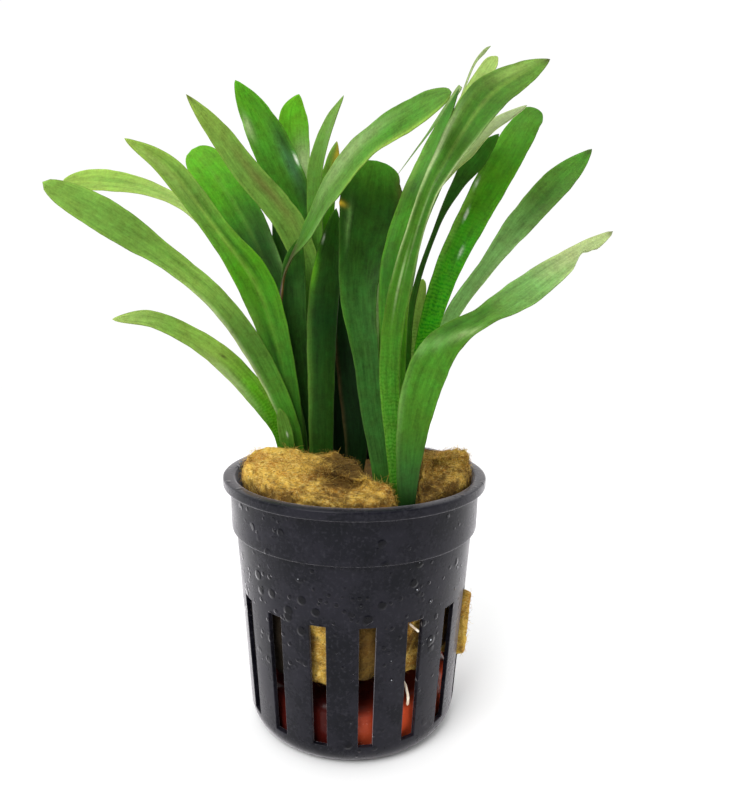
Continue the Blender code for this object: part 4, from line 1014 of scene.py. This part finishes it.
def make_leaf(name, stations, materials, seed):
    """A leaf as a lens-shaped section carried along its route, folded, cupped and rippled.

    Across the blade v runs from -1 to 1 on the front and back on the rear. A point is
    middle + side * v * half width + front * (fold * |v| + cup * v^2) * half width, plus a
    ripple at the margins and half of the local thickness. Where the tip is torn, v is capped.
    """
    roundness, fold, cup, wave, cell_share, finish = FORMS[name]
    route, side, front, width, length = leaf_frame(stations)
    width = leaf_width(width, roundness)
    v_front = np.sin(np.linspace(-0.5, 0.5, FRONT_COLUMNS) * math.pi)
    v = np.concatenate([v_front, v_front[-2:0:-1]])
    face = np.concatenate([np.ones(FRONT_COLUMNS), -np.ones(FRONT_COLUMNS - 2)])
    share = length / length[-1]
    half = 0.5 * width * (1.0 + 0.02 * ripple(length, WIDTH_RIPPLE, seed))
    freed = fade(share, 0.12, 0.42) * fade(share, 1.02, 0.87)
    bend = fold * (np.sqrt(v ** 2 + 0.03) - math.sqrt(0.03)) + cup * v ** 2
    depth = (freed * half)[:, None] * bend[None, :]
    edge_wave = wave * freed[:, None] * np.abs(v)[None, :] ** 3
    left = ripple(length, MARGIN_RIPPLE, seed + 1)[:, None]
    right = ripple(length, MARGIN_RIPPLE, seed + 2)[:, None]
    depth = depth + edge_wave * np.where(v[None, :] < 0.0, left, right)
    thinned = (BLADE_THICKNESS - SHEATH_THICKNESS) * fade(share, 0.0, SHEATH_LENGTH_SHARE)
    middle = np.minimum(SHEATH_THICKNESS + thinned, 0.5 * width)
    margin = np.minimum(MARGIN_THICKNESS, 0.3 * width)
    thickness = margin[:, None] + (middle - margin)[:, None] * np.sqrt(1.0 - v ** 2)[None, :] ** 1.3
    rim = np.abs(v)[None, :] > 0.999
    depth = depth + np.where(rim, 0.0, 0.5 * thickness * face[None, :])
    place_across = np.broadcast_to(v[None, :], depth.shape)
    if name in TEARS:
        start, cap = TEARS[name]
        most = np.interp(share, (start - 0.05, start, start + 0.045, 1.0), (1.0, cap, 0.8, 0.9))
        ragged = TEAR_RAGGED * ripple(length, TEAR_RIPPLE, seed + 3) * (share > start)
        place_across = np.minimum(place_across, (most + ragged)[:, None])
    points = route[:, None] + front[:, None] * depth[..., None]
    points = points + side[:, None] * (half[:, None] * place_across)[..., None]
    rows, columns = points.shape[:2]
    faces = [corners[::-1] for corners in closed_grid(rows, columns)]
    piece = make_piece(name + "_blade", points, faces, materials[finish], (name,))
    wide_share, wide_across = np.repeat(share, columns), np.tile(v, rows)
    set_colours(piece, "tint", leaf_colours(name, wide_share, wide_across))
    set_values(piece, "edge", half[:, None] * (1.0 - np.abs(v))[None, :])
    cells = fade(share, cell_share, cell_share - CELL_FADE) if cell_share else np.zeros(rows)
    set_values(piece, "cells", np.repeat(cells, columns))
    centimetres = np.repeat(0.1 * length, columns)
    set_map(piece, "blade", np.column_stack([0.5 + 0.5 * wide_across, centimetres]))
    return piece


# Pot

def wall_radius(height):
    """Outer radius of the slotted wall at a height."""
    share = (height - WALL_FOOT_HEIGHT) / (STEP_HEIGHT - WALL_FOOT_HEIGHT)
    return WALL_FOOT_RADIUS + (WALL_TOP_RADIUS - WALL_FOOT_RADIUS) * share


def arc(centre_x, centre_z, radius, start, end, steps):
    """Points on an arc, angles in degrees from +X towards +Z."""
    angles = np.radians(np.linspace(start, end, steps + 1))
    return list(zip(centre_x + radius * np.cos(angles), centre_z + radius * np.sin(angles)))


def wall_line(heights, inset=0.0):
    """Points up or down the slotted wall, that far inside its outer face."""
    return [(wall_radius(z) - inset, z) for z in heights]


def pot_outline():
    """Outside of the pot from the base's centre up to the lip, then inside down to the floor's centre.

    The slotted stretch has the same heights outside and inside, so a slot's walls can join them.
    """
    corner = wall_radius(WALL_FOOT_HEIGHT) - BASE_RADIUS
    climb = np.radians(np.linspace(-90.0, 0.0, 9)[:-1])
    foot = zip(BASE_RADIUS + corner * np.cos(climb), WALL_FOOT_HEIGHT * (1.0 + np.sin(climb)))
    slotted = np.linspace(SLOT_FOOT, SLOT_TOP, 25)
    plain = np.linspace(SLOT_TOP, STEP_HEIGHT - 0.25, 10)[1:]
    outside = [(0.5, 0.0), (0.5 * BASE_RADIUS, 0.0), (0.95 * BASE_RADIUS, 0.0), *foot]
    first_slot = len(outside)
    outside += wall_line(slotted) + wall_line(plain)
    bend = MOULD_ROUNDING
    outside += arc(WALL_TOP_RADIUS + bend, STEP_HEIGHT + 0.1, bend, 180.0, 90.0, 4)[:-1]
    outside += arc(COLLAR_RADIUS - bend, STEP_HEIGHT + 0.5 + bend, bend, -60.0, 0.0, 4)
    collar = np.linspace(STEP_HEIGHT + 1.5, POT_HEIGHT - LIP_DEPTH - 0.5, 8)
    outside += [(COLLAR_RADIUS + COLLAR_SPREAD * (z - STEP_HEIGHT) / 10.0, z) for z in collar]
    below_lip = COLLAR_RADIUS + COLLAR_SPREAD + bend
    outside += arc(below_lip, POT_HEIGHT - LIP_DEPTH - bend, bend, 180.0, 90.0, 3)
    lip = 0.5 * LIP_DEPTH
    outside += arc(RIM_RADIUS - 0.7 * lip, POT_HEIGHT - lip, lip, -80.0, 90.0, 12)[1:-1]
    outside = [(min(x, RIM_RADIUS), z) for x, z in outside]
    inside = arc(COLLAR_RADIUS - WALL + 0.7, POT_HEIGHT - 0.6, 0.6, 90.0, 180.0, 4)
    collar = np.linspace(POT_HEIGHT - 2.0, STEP_HEIGHT + 1.4, 8)
    inside += [(COLLAR_RADIUS - WALL + 0.08, z) for z in collar]
    inside += wall_line(np.linspace(STEP_HEIGHT, SLOT_TOP, 9)[:-1], WALL)
    last_slot = len(outside) + len(inside)
    inside += wall_line(slotted[::-1], WALL)
    inside += [(wall_radius(3.0) - WALL - 0.3, 2.8), (wall_radius(3.0) - WALL - 1.4, FLOOR)]
    inside += [(0.5 * BASE_RADIUS, FLOOR), (0.5, FLOOR)]
    return np.array(outside + inside), first_slot, last_slot, len(slotted)


def strip(first, second):
    """The quads between two lines of corner numbers."""
    return np.stack([first[:-1], second[:-1], second[1:], first[1:]], axis=1).tolist()


def make_pot(material):
    """The net pot: a profile carried round the axis, with its slots left open and their walls joined.

    Round the axis each pitch has a few columns in the slot and more on the rib, and the slot's
    columns keep the slot's real width at each height:
    angle = phase + pitch * n + share * width / radius.
    """
    outline, outer, inner, count = pot_outline()
    climb = fade(outline[:, 1], SLOT_FOOT, SLOT_TOP)
    width = SLOT_WIDTH_FOOT + (SLOT_WIDTH_TOP - SLOT_WIDTH_FOOT) * climb
    opening = (width / wall_radius(SLOT_FOOT + (SLOT_TOP - SLOT_FOOT) * climb))[:, None]
    in_slot = np.linspace(-0.5, 0.5, SLOT_COLUMNS + 1)[:-1] * opening
    on_rib = 0.5 * opening + np.linspace(0.0, 1.0, RIB_COLUMNS + 1)[:-1] * (SLOT_PITCH - opening)
    sector = SLOT_PHASE + np.hstack([in_slot, on_rib])
    angles = np.hstack([sector + SLOT_PITCH * n for n in range(SLOT_COUNT)])
    points = round_axis(outline[:, :1], angles, outline[:, 1:])
    rows, columns = angles.shape
    number = np.arange(rows * columns).reshape(rows, columns)
    row = np.repeat(np.arange(rows - 1), columns)
    column = np.tile(np.arange(columns), rows - 1)
    slot_column = column % (SLOT_COLUMNS + RIB_COLUMNS) < SLOT_COLUMNS
    slot_row = (row >= outer) & (row < outer + count - 1) | (row >= inner) & (row < inner + count - 1)
    quads = grid_quads(rows, columns)[~(slot_column & slot_row)].tolist()
    outside = number[outer:outer + count]
    inside = number[inner:inner + count][::-1]
    for left in range(0, columns, SLOT_COLUMNS + RIB_COLUMNS):
        right = left + SLOT_COLUMNS
        open_part = slice(left, right + 1)
        quads += strip(outside[:, left], inside[:, left])
        quads += strip(inside[:, right], outside[:, right])
        quads += strip(inside[0, open_part], outside[0, open_part])
        quads += strip(outside[-1, open_part], inside[-1, open_part])
    quads.append(number[0][::-1].tolist())
    quads.append(number[-1].tolist())
    piece = make_piece("net_pot_wall", points, quads, material, ("net_pot",))
    soften = piece.modifiers.new("Moulded edges", "BEVEL")
    soften.width = SLOT_EDGE * MM
    soften.segments = 2
    soften.limit_method = "ANGLE"
    soften.angle_limit = EDGE_ANGLE
    soften.harden_normals = True
    return piece


# Clay ring

def make_clay(material):
    """The clay ring: a rounded profile carried round the axis, drawn a little to its middle by noise."""
    foot = FLOOR + CLEARANCE
    top = foot + CLAY_HEIGHT
    profile = arc(CLAY_HOLE_RADIUS + 1.0, top - 1.0, 1.0, 180.0, 90.0, 6)
    profile += [(x, top) for x in np.linspace(8.5, CLAY_RADIUS - CLAY_SHOULDER - 1.0, 8)]
    profile += arc(CLAY_RADIUS - CLAY_SHOULDER, top - CLAY_SHOULDER, CLAY_SHOULDER, 90.0, 0.0, 12)
    profile += [(CLAY_RADIUS, z) for z in np.linspace(top - CLAY_SHOULDER, foot + 2.0, 8)[1:]]
    profile += arc(CLAY_RADIUS - 1.6, foot + 1.6, 1.6, 0.0, -90.0, 6)
    profile += [(12.0, foot), (CLAY_HOLE_RADIUS, foot), (CLAY_HOLE_RADIUS, foot + 5.0)]
    profile = np.array(profile)
    angles = full_turn(144)
    points = round_axis(profile[:, :1], angles, profile[:, 1:])
    middle = np.array([0.0, 0.0, foot + 0.5 * CLAY_HEIGHT])
    uneven = CLAY_UNEVEN * (1.0 + lattice_noise(points, 4.0, 5))
    points = points + (middle - points) * uneven[..., None]
    faces = grid_quads(len(profile) + 1, len(angles))
    faces = (faces % (len(profile) * len(angles))).tolist()
    return make_piece("clay_ring_body", points, faces, material, ("clay_ring",))


# Rock wool

def fibre_mesh(starts, directions, bends, lengths, radius):
    """Thin tapering tubes: each follows start + direction * t + bend * t^2, with three sides."""
    t = np.linspace(0.0, 1.0, FIBRE_STEPS + 1)
    t_row = t[None, :, None]
    lean = directions[:, None] * t_row + bends[:, None] * t_row ** 2
    route = starts[:, None] + lengths[:, None, None] * lean
    first = unit(np.cross(directions, directions[:, [1, 2, 0]] + [0.1, 0.2, 0.3]))
    second = np.cross(unit(directions), first)
    ring = turned(first, second, full_turn(FIBRE_SIDES))
    thick = radius * (1.0 - 0.75 * t ** 2)
    points = route[:, :, None] + ring[:, None] * thick[None, :, None, None]
    per_fibre = (FIBRE_STEPS + 1) * FIBRE_SIDES
    offsets = (np.arange(len(starts)) * per_fibre)[:, None, None]
    sides = (grid_quads(FIBRE_STEPS + 1, FIBRE_SIDES)[None] + offsets).reshape(-1, 4)
    ends = np.array([list(range(FIBRE_SIDES))[::-1], list(range(per_fibre - FIBRE_SIDES, per_fibre))])
    ends = (ends[None] + offsets).reshape(-1, FIBRE_SIDES)
    return points.reshape(-1, 3), sides, ends, per_fibre


def surface_fibres(name, points, normals, tones, material, count, length, lift, seed):
    """Fibres rooted all over a surface, lying mostly along it, lifting a little, near its own tone."""
    rng = np.random.default_rng(seed)
    points = points.reshape(-1, 3)
    chosen = rng.choice(len(points), count)
    normals = normals.reshape(-1, 3)[chosen]
    near = points[chosen] + rng.normal(0.0, FIBRE_SCATTER, (count, 3)) - FIBRE_ROOT_DEPTH * normals
    loose = rng.normal(0.0, 1.0, (count, 3))
    flat = loose - normals * np.sum(loose * normals, axis=1, keepdims=True)
    rise = lift * rng.uniform(0.2, 1.0, (count, 1)) ** 2
    directions = unit(unit(flat) + normals * rise)
    bends = rng.normal(0.0, 0.4, (count, 3)) - normals * (0.35 * rise)
    lengths = length * rng.uniform(0.4, 1.2, count)
    places, sides, ends, per_fibre = fibre_mesh(near, directions, bends, lengths, FIBRE_RADIUS)
    piece = make_piece(name, places, sides.tolist() + ends.tolist(), material)
    own = tones.ravel()[chosen] + rng.normal(0.05, 0.3, count)
    set_values(piece, "tone", np.repeat(own, per_fibre))
    return piece


def grid_normals(points, outward):
    """Unit normals of a grid surface from its two directions, turned to point away from a middle."""
    normals = np.cross(np.gradient(points, axis=1), np.gradient(points, axis=0))
    normals = unit(normals)
    flip = np.sum(normals * (points - outward), axis=-1, keepdims=True) < 0.0
    return np.where(flip, -normals, normals)


def slot_bulge(angles, heights):
    """How far the wool is pressed into the slots: most along their middles, nothing at their ends."""
    turn = (angles - SLOT_PHASE + 0.5 * SLOT_PITCH) % SLOT_PITCH - 0.5 * SLOT_PITCH
    aside = np.abs(turn) * WALL_FOOT_RADIUS / (0.5 * SLOT_WIDTH_FOOT)
    below = fade(heights, SLOT_TOP - 0.6, SLOT_TOP - 1.8)
    above = fade(heights, PLUG_FOOT + 1.5, PLUG_FOOT + 3.0)
    return PLUG_BULGE * fade(aside, 0.95, 0.6) * below * above


def plug_surface():
    """The wool plug: a lumpy wall round the axis, its ragged foot and its top drawn in to the middle.

    At each height the radius is the pot's inner radius less a clearance and two waves of lumps,
    with a bulge into each slot, and it is rounded at the top and the foot.
    """
    angles = full_turn(240)
    foot = PLUG_FOOT + 1.3 * (1.0 + np.sin(2.0 * angles + 0.4)) + 0.5 * ripple(angles, 0.5, 21)
    rings = []
    for inset in (0.05, 0.3, 0.6, 0.85, 0.97):
        radius = (wall_radius(PLUG_FOOT) - WALL - CLEARANCE - 1.1) * inset
        rings.append(round_axis(radius, angles, foot + 0.3 * (inset < 0.9)))
    for share in np.linspace(0.0, 1.0, 60):
        height = foot + 0.2 + (PLUG_TOP - 0.4 - foot) * share
        lump = np.sin(3.0 * angles + 0.21 * height) + 0.6 * np.sin(7.0 * angles - 0.4 * height)
        radius = wall_radius(np.minimum(height, STEP_HEIGHT)) - WALL - CLEARANCE
        radius = radius - PLUG_LUMP * (1.0 + 0.55 * lump) + slot_bulge(angles, height)
        radius = radius - PLUG_ROUNDING * (fade(share, 0.04, 0.0) + fade(share, 0.97, 1.0))
        rings.append(round_axis(radius, angles, height))
    rim = rings[-1] * [1.0, 1.0, 0.0]
    for inset in (0.97, 0.93, 0.88, 0.8, 0.72, 0.64, 0.56, 0.48, 0.4, 0.32, 0.24, 0.16, 0.08, 0.02):
        rings.append(rim * inset + [0.0, 0.0, PLUG_TOP - 0.1])
    points = np.array(rings)
    normals = grid_normals(points, np.array([0.0, 0.0, 32.0]))
    rough = lumpy(points, 7, (0.35, 2.2), (0.2, 0.9)) - 0.25
    return points + normals * rough[..., None], normals


def tongue_surface():
    """The wool tongue: a lumpy slab through one slot, swollen outside the wall.

    Each level is a squared oval: outwards it is middle + half length * cos^0.35, and sideways
    half width * sin^0.5. It is drawn in towards its top and its foot.
    """
    around = full_turn(40)
    share = np.linspace(0.0, 1.0, 46)
    heights = TONGUE_FOOT + 0.6 + (TONGUE_TOP - TONGUE_FOOT - 0.6) * share
    start = 0.6 * WALL_FOOT_RADIUS
    ends = np.sin(np.clip(share * (1.0 - share) * 18.0, 0.0, 1.0) * 0.5 * math.pi)
    reach = TONGUE_REACH - 1.0 + share - 1.2 * (1.0 - ends)
    out = 0.5 * (reach + start)[:, None] + 0.5 * (reach - start)[:, None] * squared(np.cos(around), 0.35)
    swell = 1.0 + 0.45 * fade(out, TONGUE_SWELL_RADIUS, TONGUE_SWELL_RADIUS + 0.6)
    side = 0.5 * TONGUE_WIDTH * swell * squared(np.sin(around), 0.5) * (0.35 + 0.65 * ends)[:, None]
    turn = SLOT_PHASE + SLOT_PITCH * TONGUE_SLOT
    points = round_axis(out, turn, heights[:, None])
    points = points + side[..., None] * [math.cos(turn), math.sin(turn), 0.0]
    normals = grid_normals(points, round_axis(19.0, turn, 21.0))
    rough = lumpy(points, 9, (0.22, 1.5), (0.12, 0.7)) - 0.08
    return points + normals * rough[..., None], normals


def chunk_surface(outline, tufts, seed):
    """A torn chunk of wool: rings from under its foot, up its side and over its top to the middle.

    The outline is eased between its corners. A ring's place is middle + (outline - middle) * reach,
    its height climbs the rounded side and follows the outline's own top height, which is blended
    towards the mean height at the middle.
    """
    corners = np.array(outline)
    dense = eased(np.vstack([corners[-1:], corners, corners[:2]]), 16)[16:-16 - 1]
    middle = dense.mean(axis=0)
    foot = CHUNK_FOOT + 0.3
    levels = [(reach, CHUNK_FOOT) for reach in (0.02, 0.4, 0.8, 0.97)]
    for angle in np.linspace(0.0, 0.5 * math.pi, 18):
        reach = 0.985 + 0.015 * math.cos(angle) - 0.07 * (1.0 - math.cos(angle)) ** 2
        levels.append((reach, foot + (dense[:, 2] - foot) * math.sin(angle) ** 0.8))
    for reach in np.linspace(0.9, 0.02, 30):
        levels.append((reach, middle[2] + (dense[:, 2] - middle[2]) * min(1.0, reach ** 0.7)))
    points = np.array([middle + (dense - middle) * reach for reach, heights in levels])
    for ring, (reach, heights) in zip(points, levels):
        ring[:, 2] = heights
    for x, y, rise, reach in tufts:
        near = spot(np.hypot(points[..., 0] - x, points[..., 1] - y), reach)
        points[..., 2] += rise * near * (points[..., 2] > CHUNK_FOOT + 2.0)
    normals = grid_normals(points, np.array([middle[0], middle[1], CHUNK_FOOT]))
    raised = 0.3 + 0.7 * fade(points[..., 2], CHUNK_FOOT, CHUNK_FOOT + 1.5)
    rough = raised * (lumpy(points, seed, (0.55, 3.2), (0.3, 1.4), (0.14, 0.6)) - 0.15)
    return points + normals * rough[..., None], normals


def wool_tone(points, seed, base, back_shade=0.0, foot_shade=0.0):
    """How light the wool is: uneven by noise, and, where told, darkened behind its front and at its foot
    as painted shade.
    """
    x, y, z = points[..., 0], points[..., 1], points[..., 2]
    tone = base + lumpy(points, seed, (0.16, 3.5), (0.2, 1.2), (0.2, 0.5))
    # Painted shade behind the front and at the foot
    tone = tone - back_shade * fade(y, -18.0, -14.0) * spot(x + 1.0, 6.5)
    return tone - foot_shade * fade(z, POT_HEIGHT + 3.5, POT_HEIGHT - 1.5)


def plug_painted_shading(points):
    """The plug's tone, all painted light and shade: dark inside the pot, lighter at two places, and black
    at the left of its front.
    """
    x, y = points[..., 0], points[..., 1]
    tone = wool_tone(points, 11, -0.06) + 0.5 * spot(x + 6.0, 2.0) + 0.35 * spot(x - 10.5, 3.0)
    return tone - 0.9 * fade(x, -9.5, -12.5) * (y < 0.0)


def make_wool(name, surface, tones, body, fibre, nodes=()):
    """A wool surface closed at both ends, and the fibres on it."""
    points, normals = surface
    piece = make_piece(name + "_body", points, closed_grid(*points.shape[:2]), body, nodes)
    set_values(piece, "tone", tones)
    surface_fibres(name + "_fibres", points, normals, tones, fibre, *FIBRES[name])


def dress_wool():
    """The plug, its tongue and both torn chunks."""
    group = wool_group()
    body = wool_material("rock_wool", group, 1.0)
    # The fibres take the wool's colour a little lighter: painted light where they stand out
    fibre = wool_material("rock_wool_fibre", group, 1.15)
    plug = plug_surface()
    make_wool("wool_plug", plug, plug_painted_shading(plug[0]), body, fibre, ("wool_plug",))
    tongue = tongue_surface()
    make_wool("wool_tongue", tongue, wool_tone(tongue[0], 12, 0.55), body, fibre)
    left = chunk_surface(LEFT_CHUNK, LEFT_TUFTS, 41)
    tones = wool_tone(left[0], 13, 0.60, 0.75, 0.55)
    make_wool("wool_chunk_left", left, tones, body, fibre, ("wool_chunk_left",))
    right = chunk_surface(RIGHT_CHUNK, RIGHT_TUFTS, 51)
    tones = wool_tone(right[0], 14, 0.55, 0.0, 0.55)
    make_wool("wool_chunk_right", right, tones, body, fibre, ("wool_chunk_right",))


# Roots

def make_root(name, radius, route, material):
    """A root: a round section carried along its route, a little uneven, its ends drawn in."""
    path = eased(route, 12)
    along = unit(np.gradient(path, axis=0))
    side = unit(np.cross(along, [0.0, 1.0, 0.0]))
    front = np.cross(side, along)
    angle = full_turn(12)
    share = np.linspace(0.0, 1.0, len(path))
    thick = radius * (1.0 + 0.08 * ripple(share, 0.3, 3))
    thick = thick * np.clip(np.sin(math.pi * share) * 6.0, 0.25, 1.0)
    points = path[:, None] + turned(side, front, angle) * thick[:, None, None]
    faces = closed_grid(len(path), len(angle))
    return make_piece(name + "_strand", points, faces, material, (name,))


# Studio

def make_floor():
    """A wide pale floor with a faint grain."""
    side = np.linspace(-FLOOR_REACH, FLOOR_REACH, FLOOR_LINES)
    x, y = np.meshgrid(side, side)
    points = np.stack([x, y, np.full_like(x, -0.02)], axis=-1).reshape(-1, 3)
    mesh = bpy.data.meshes.new("floor")
    quads = grid_quads(FLOOR_LINES, FLOOR_LINES, loop=False).tolist()
    mesh.from_pydata(points * MM, [], quads)
    material, tree, shader = new_material("pale_floor", (0.90, 0.90, 0.90), 0.8, Specular_IOR_Level=0.1)
    tone = ramp(tree, noise(tree, own_place(tree), FLOOR_CLOUD, 2.0), 0.3, 0.7)
    tree.links.new(mixed(tree, tone, FLOOR_DARK, FLOOR_LIGHT), shader.inputs["Base Color"])
    mesh.materials.append(material)
    floor = bpy.data.objects.new("floor", mesh)
    bpy.context.scene.collection.objects.link(floor)


def make_lamp(name, place, target, size, power):
    """A square soft light aimed at a point; places in millimetres."""
    data = bpy.data.lights.new(name, "AREA")
    data.size = size * MM
    data.energy = power
    lamp = bpy.data.objects.new(name, data)
    lamp.location = Vector(place) * MM
    aim = (Vector(target) - Vector(place)).to_track_quat("-Z", "Y")
    lamp.rotation_euler = aim.to_euler()
    bpy.context.scene.collection.objects.link(lamp)


def make_world():
    """A white surround that lights most from behind and from both sides, and is seen as plain white."""
    world = bpy.data.worlds.new("studio")
    world.use_nodes = True
    tree = world.node_tree
    background = tree.nodes["Background"]
    background.inputs["Color"].default_value = (1.0, 1.0, 1.0, 1.0)
    way = add(tree, "SeparateXYZ", (add(tree, "TexCoord").outputs["Generated"],))
    behind = ramp(tree, way.outputs[1], -0.35, 0.25, WORLD_FRONT, WORLD_BEHIND)
    aside = maths(tree, "ABSOLUTE", way.outputs[0])
    sides = times(tree, ramp(tree, aside, 0.56, 0.68), ramp(tree, aside, 1.0, 0.9))
    level = ramp(tree, maths(tree, "ABSOLUTE", way.outputs[2]), 0.6, 0.3)
    sides = plus(tree, 1.0, times(tree, sides, level), WORLD_SIDES)
    seen = add(tree, "LightPath").outputs["Is Camera Ray"]
    strength = ramp(tree, seen, 0.0, 1.0, times(tree, behind, sides), WORLD_BEHIND)
    tree.links.new(strength, background.inputs["Strength"])
    bpy.context.scene.world = world


def make_camera():
    """The picture's camera: its place, its pitch, pan and roll, and its focal length in pixels."""
    forward = Vector((
        -math.sin(-CAMERA_PAN) * math.cos(CAMERA_PITCH),
        math.cos(CAMERA_PAN) * math.cos(CAMERA_PITCH),
        -math.sin(CAMERA_PITCH)))
    level = Vector((math.cos(CAMERA_PAN), -math.sin(CAMERA_PAN), 0.0))
    upright = level.cross(forward)
    right = level * math.cos(CAMERA_ROLL) + upright * math.sin(CAMERA_ROLL)
    up = upright * math.cos(CAMERA_ROLL) - level * math.sin(CAMERA_ROLL)
    data = bpy.data.cameras.new("camera")
    data.sensor_fit = "VERTICAL"
    data.sensor_height = SENSOR
    data.lens = SENSOR * FOCAL_PIXELS / PICTURE_HEIGHT
    data.clip_start = CLIP_START * MM
    camera = bpy.data.objects.new("camera", data)
    camera.matrix_world = Matrix((
        (right.x, up.x, -forward.x, CAMERA_PLACE[0] * MM),
        (right.y, up.y, -forward.y, CAMERA_PLACE[1] * MM),
        (right.z, up.z, -forward.z, CAMERA_PLACE[2] * MM),
        (0.0, 0.0, 0.0, 1.0)))
    bpy.context.scene.collection.objects.link(camera)
    bpy.context.scene.camera = camera


def main():
    """Dress the whole plant and set the studio."""
    bpy.context.scene.view_settings.view_transform = "Standard"
    make_camera()
    make_world()
    make_floor()
    make_lamp("key", KEY_PLACE, KEY_TARGET, KEY_SIZE, KEY_POWER)
    make_lamp("top", TOP_PLACE, TOP_TARGET, TOP_SIZE, TOP_POWER)
    make_pot(plastic_material())
    make_clay(clay_material())
    dress_wool()
    white = root_material()
    for name, (radius, route) in ROOTS.items():
        make_root(name, radius, route, white)
    blade = blade_group()
    finishes = {name: leaf_material(name, blade, *values) for name, values in FINISHES.items()}
    for number, (name, stations) in enumerate(LEAVES.items()):
        make_leaf(name, stations, finishes, 100 + 7 * number)


main()
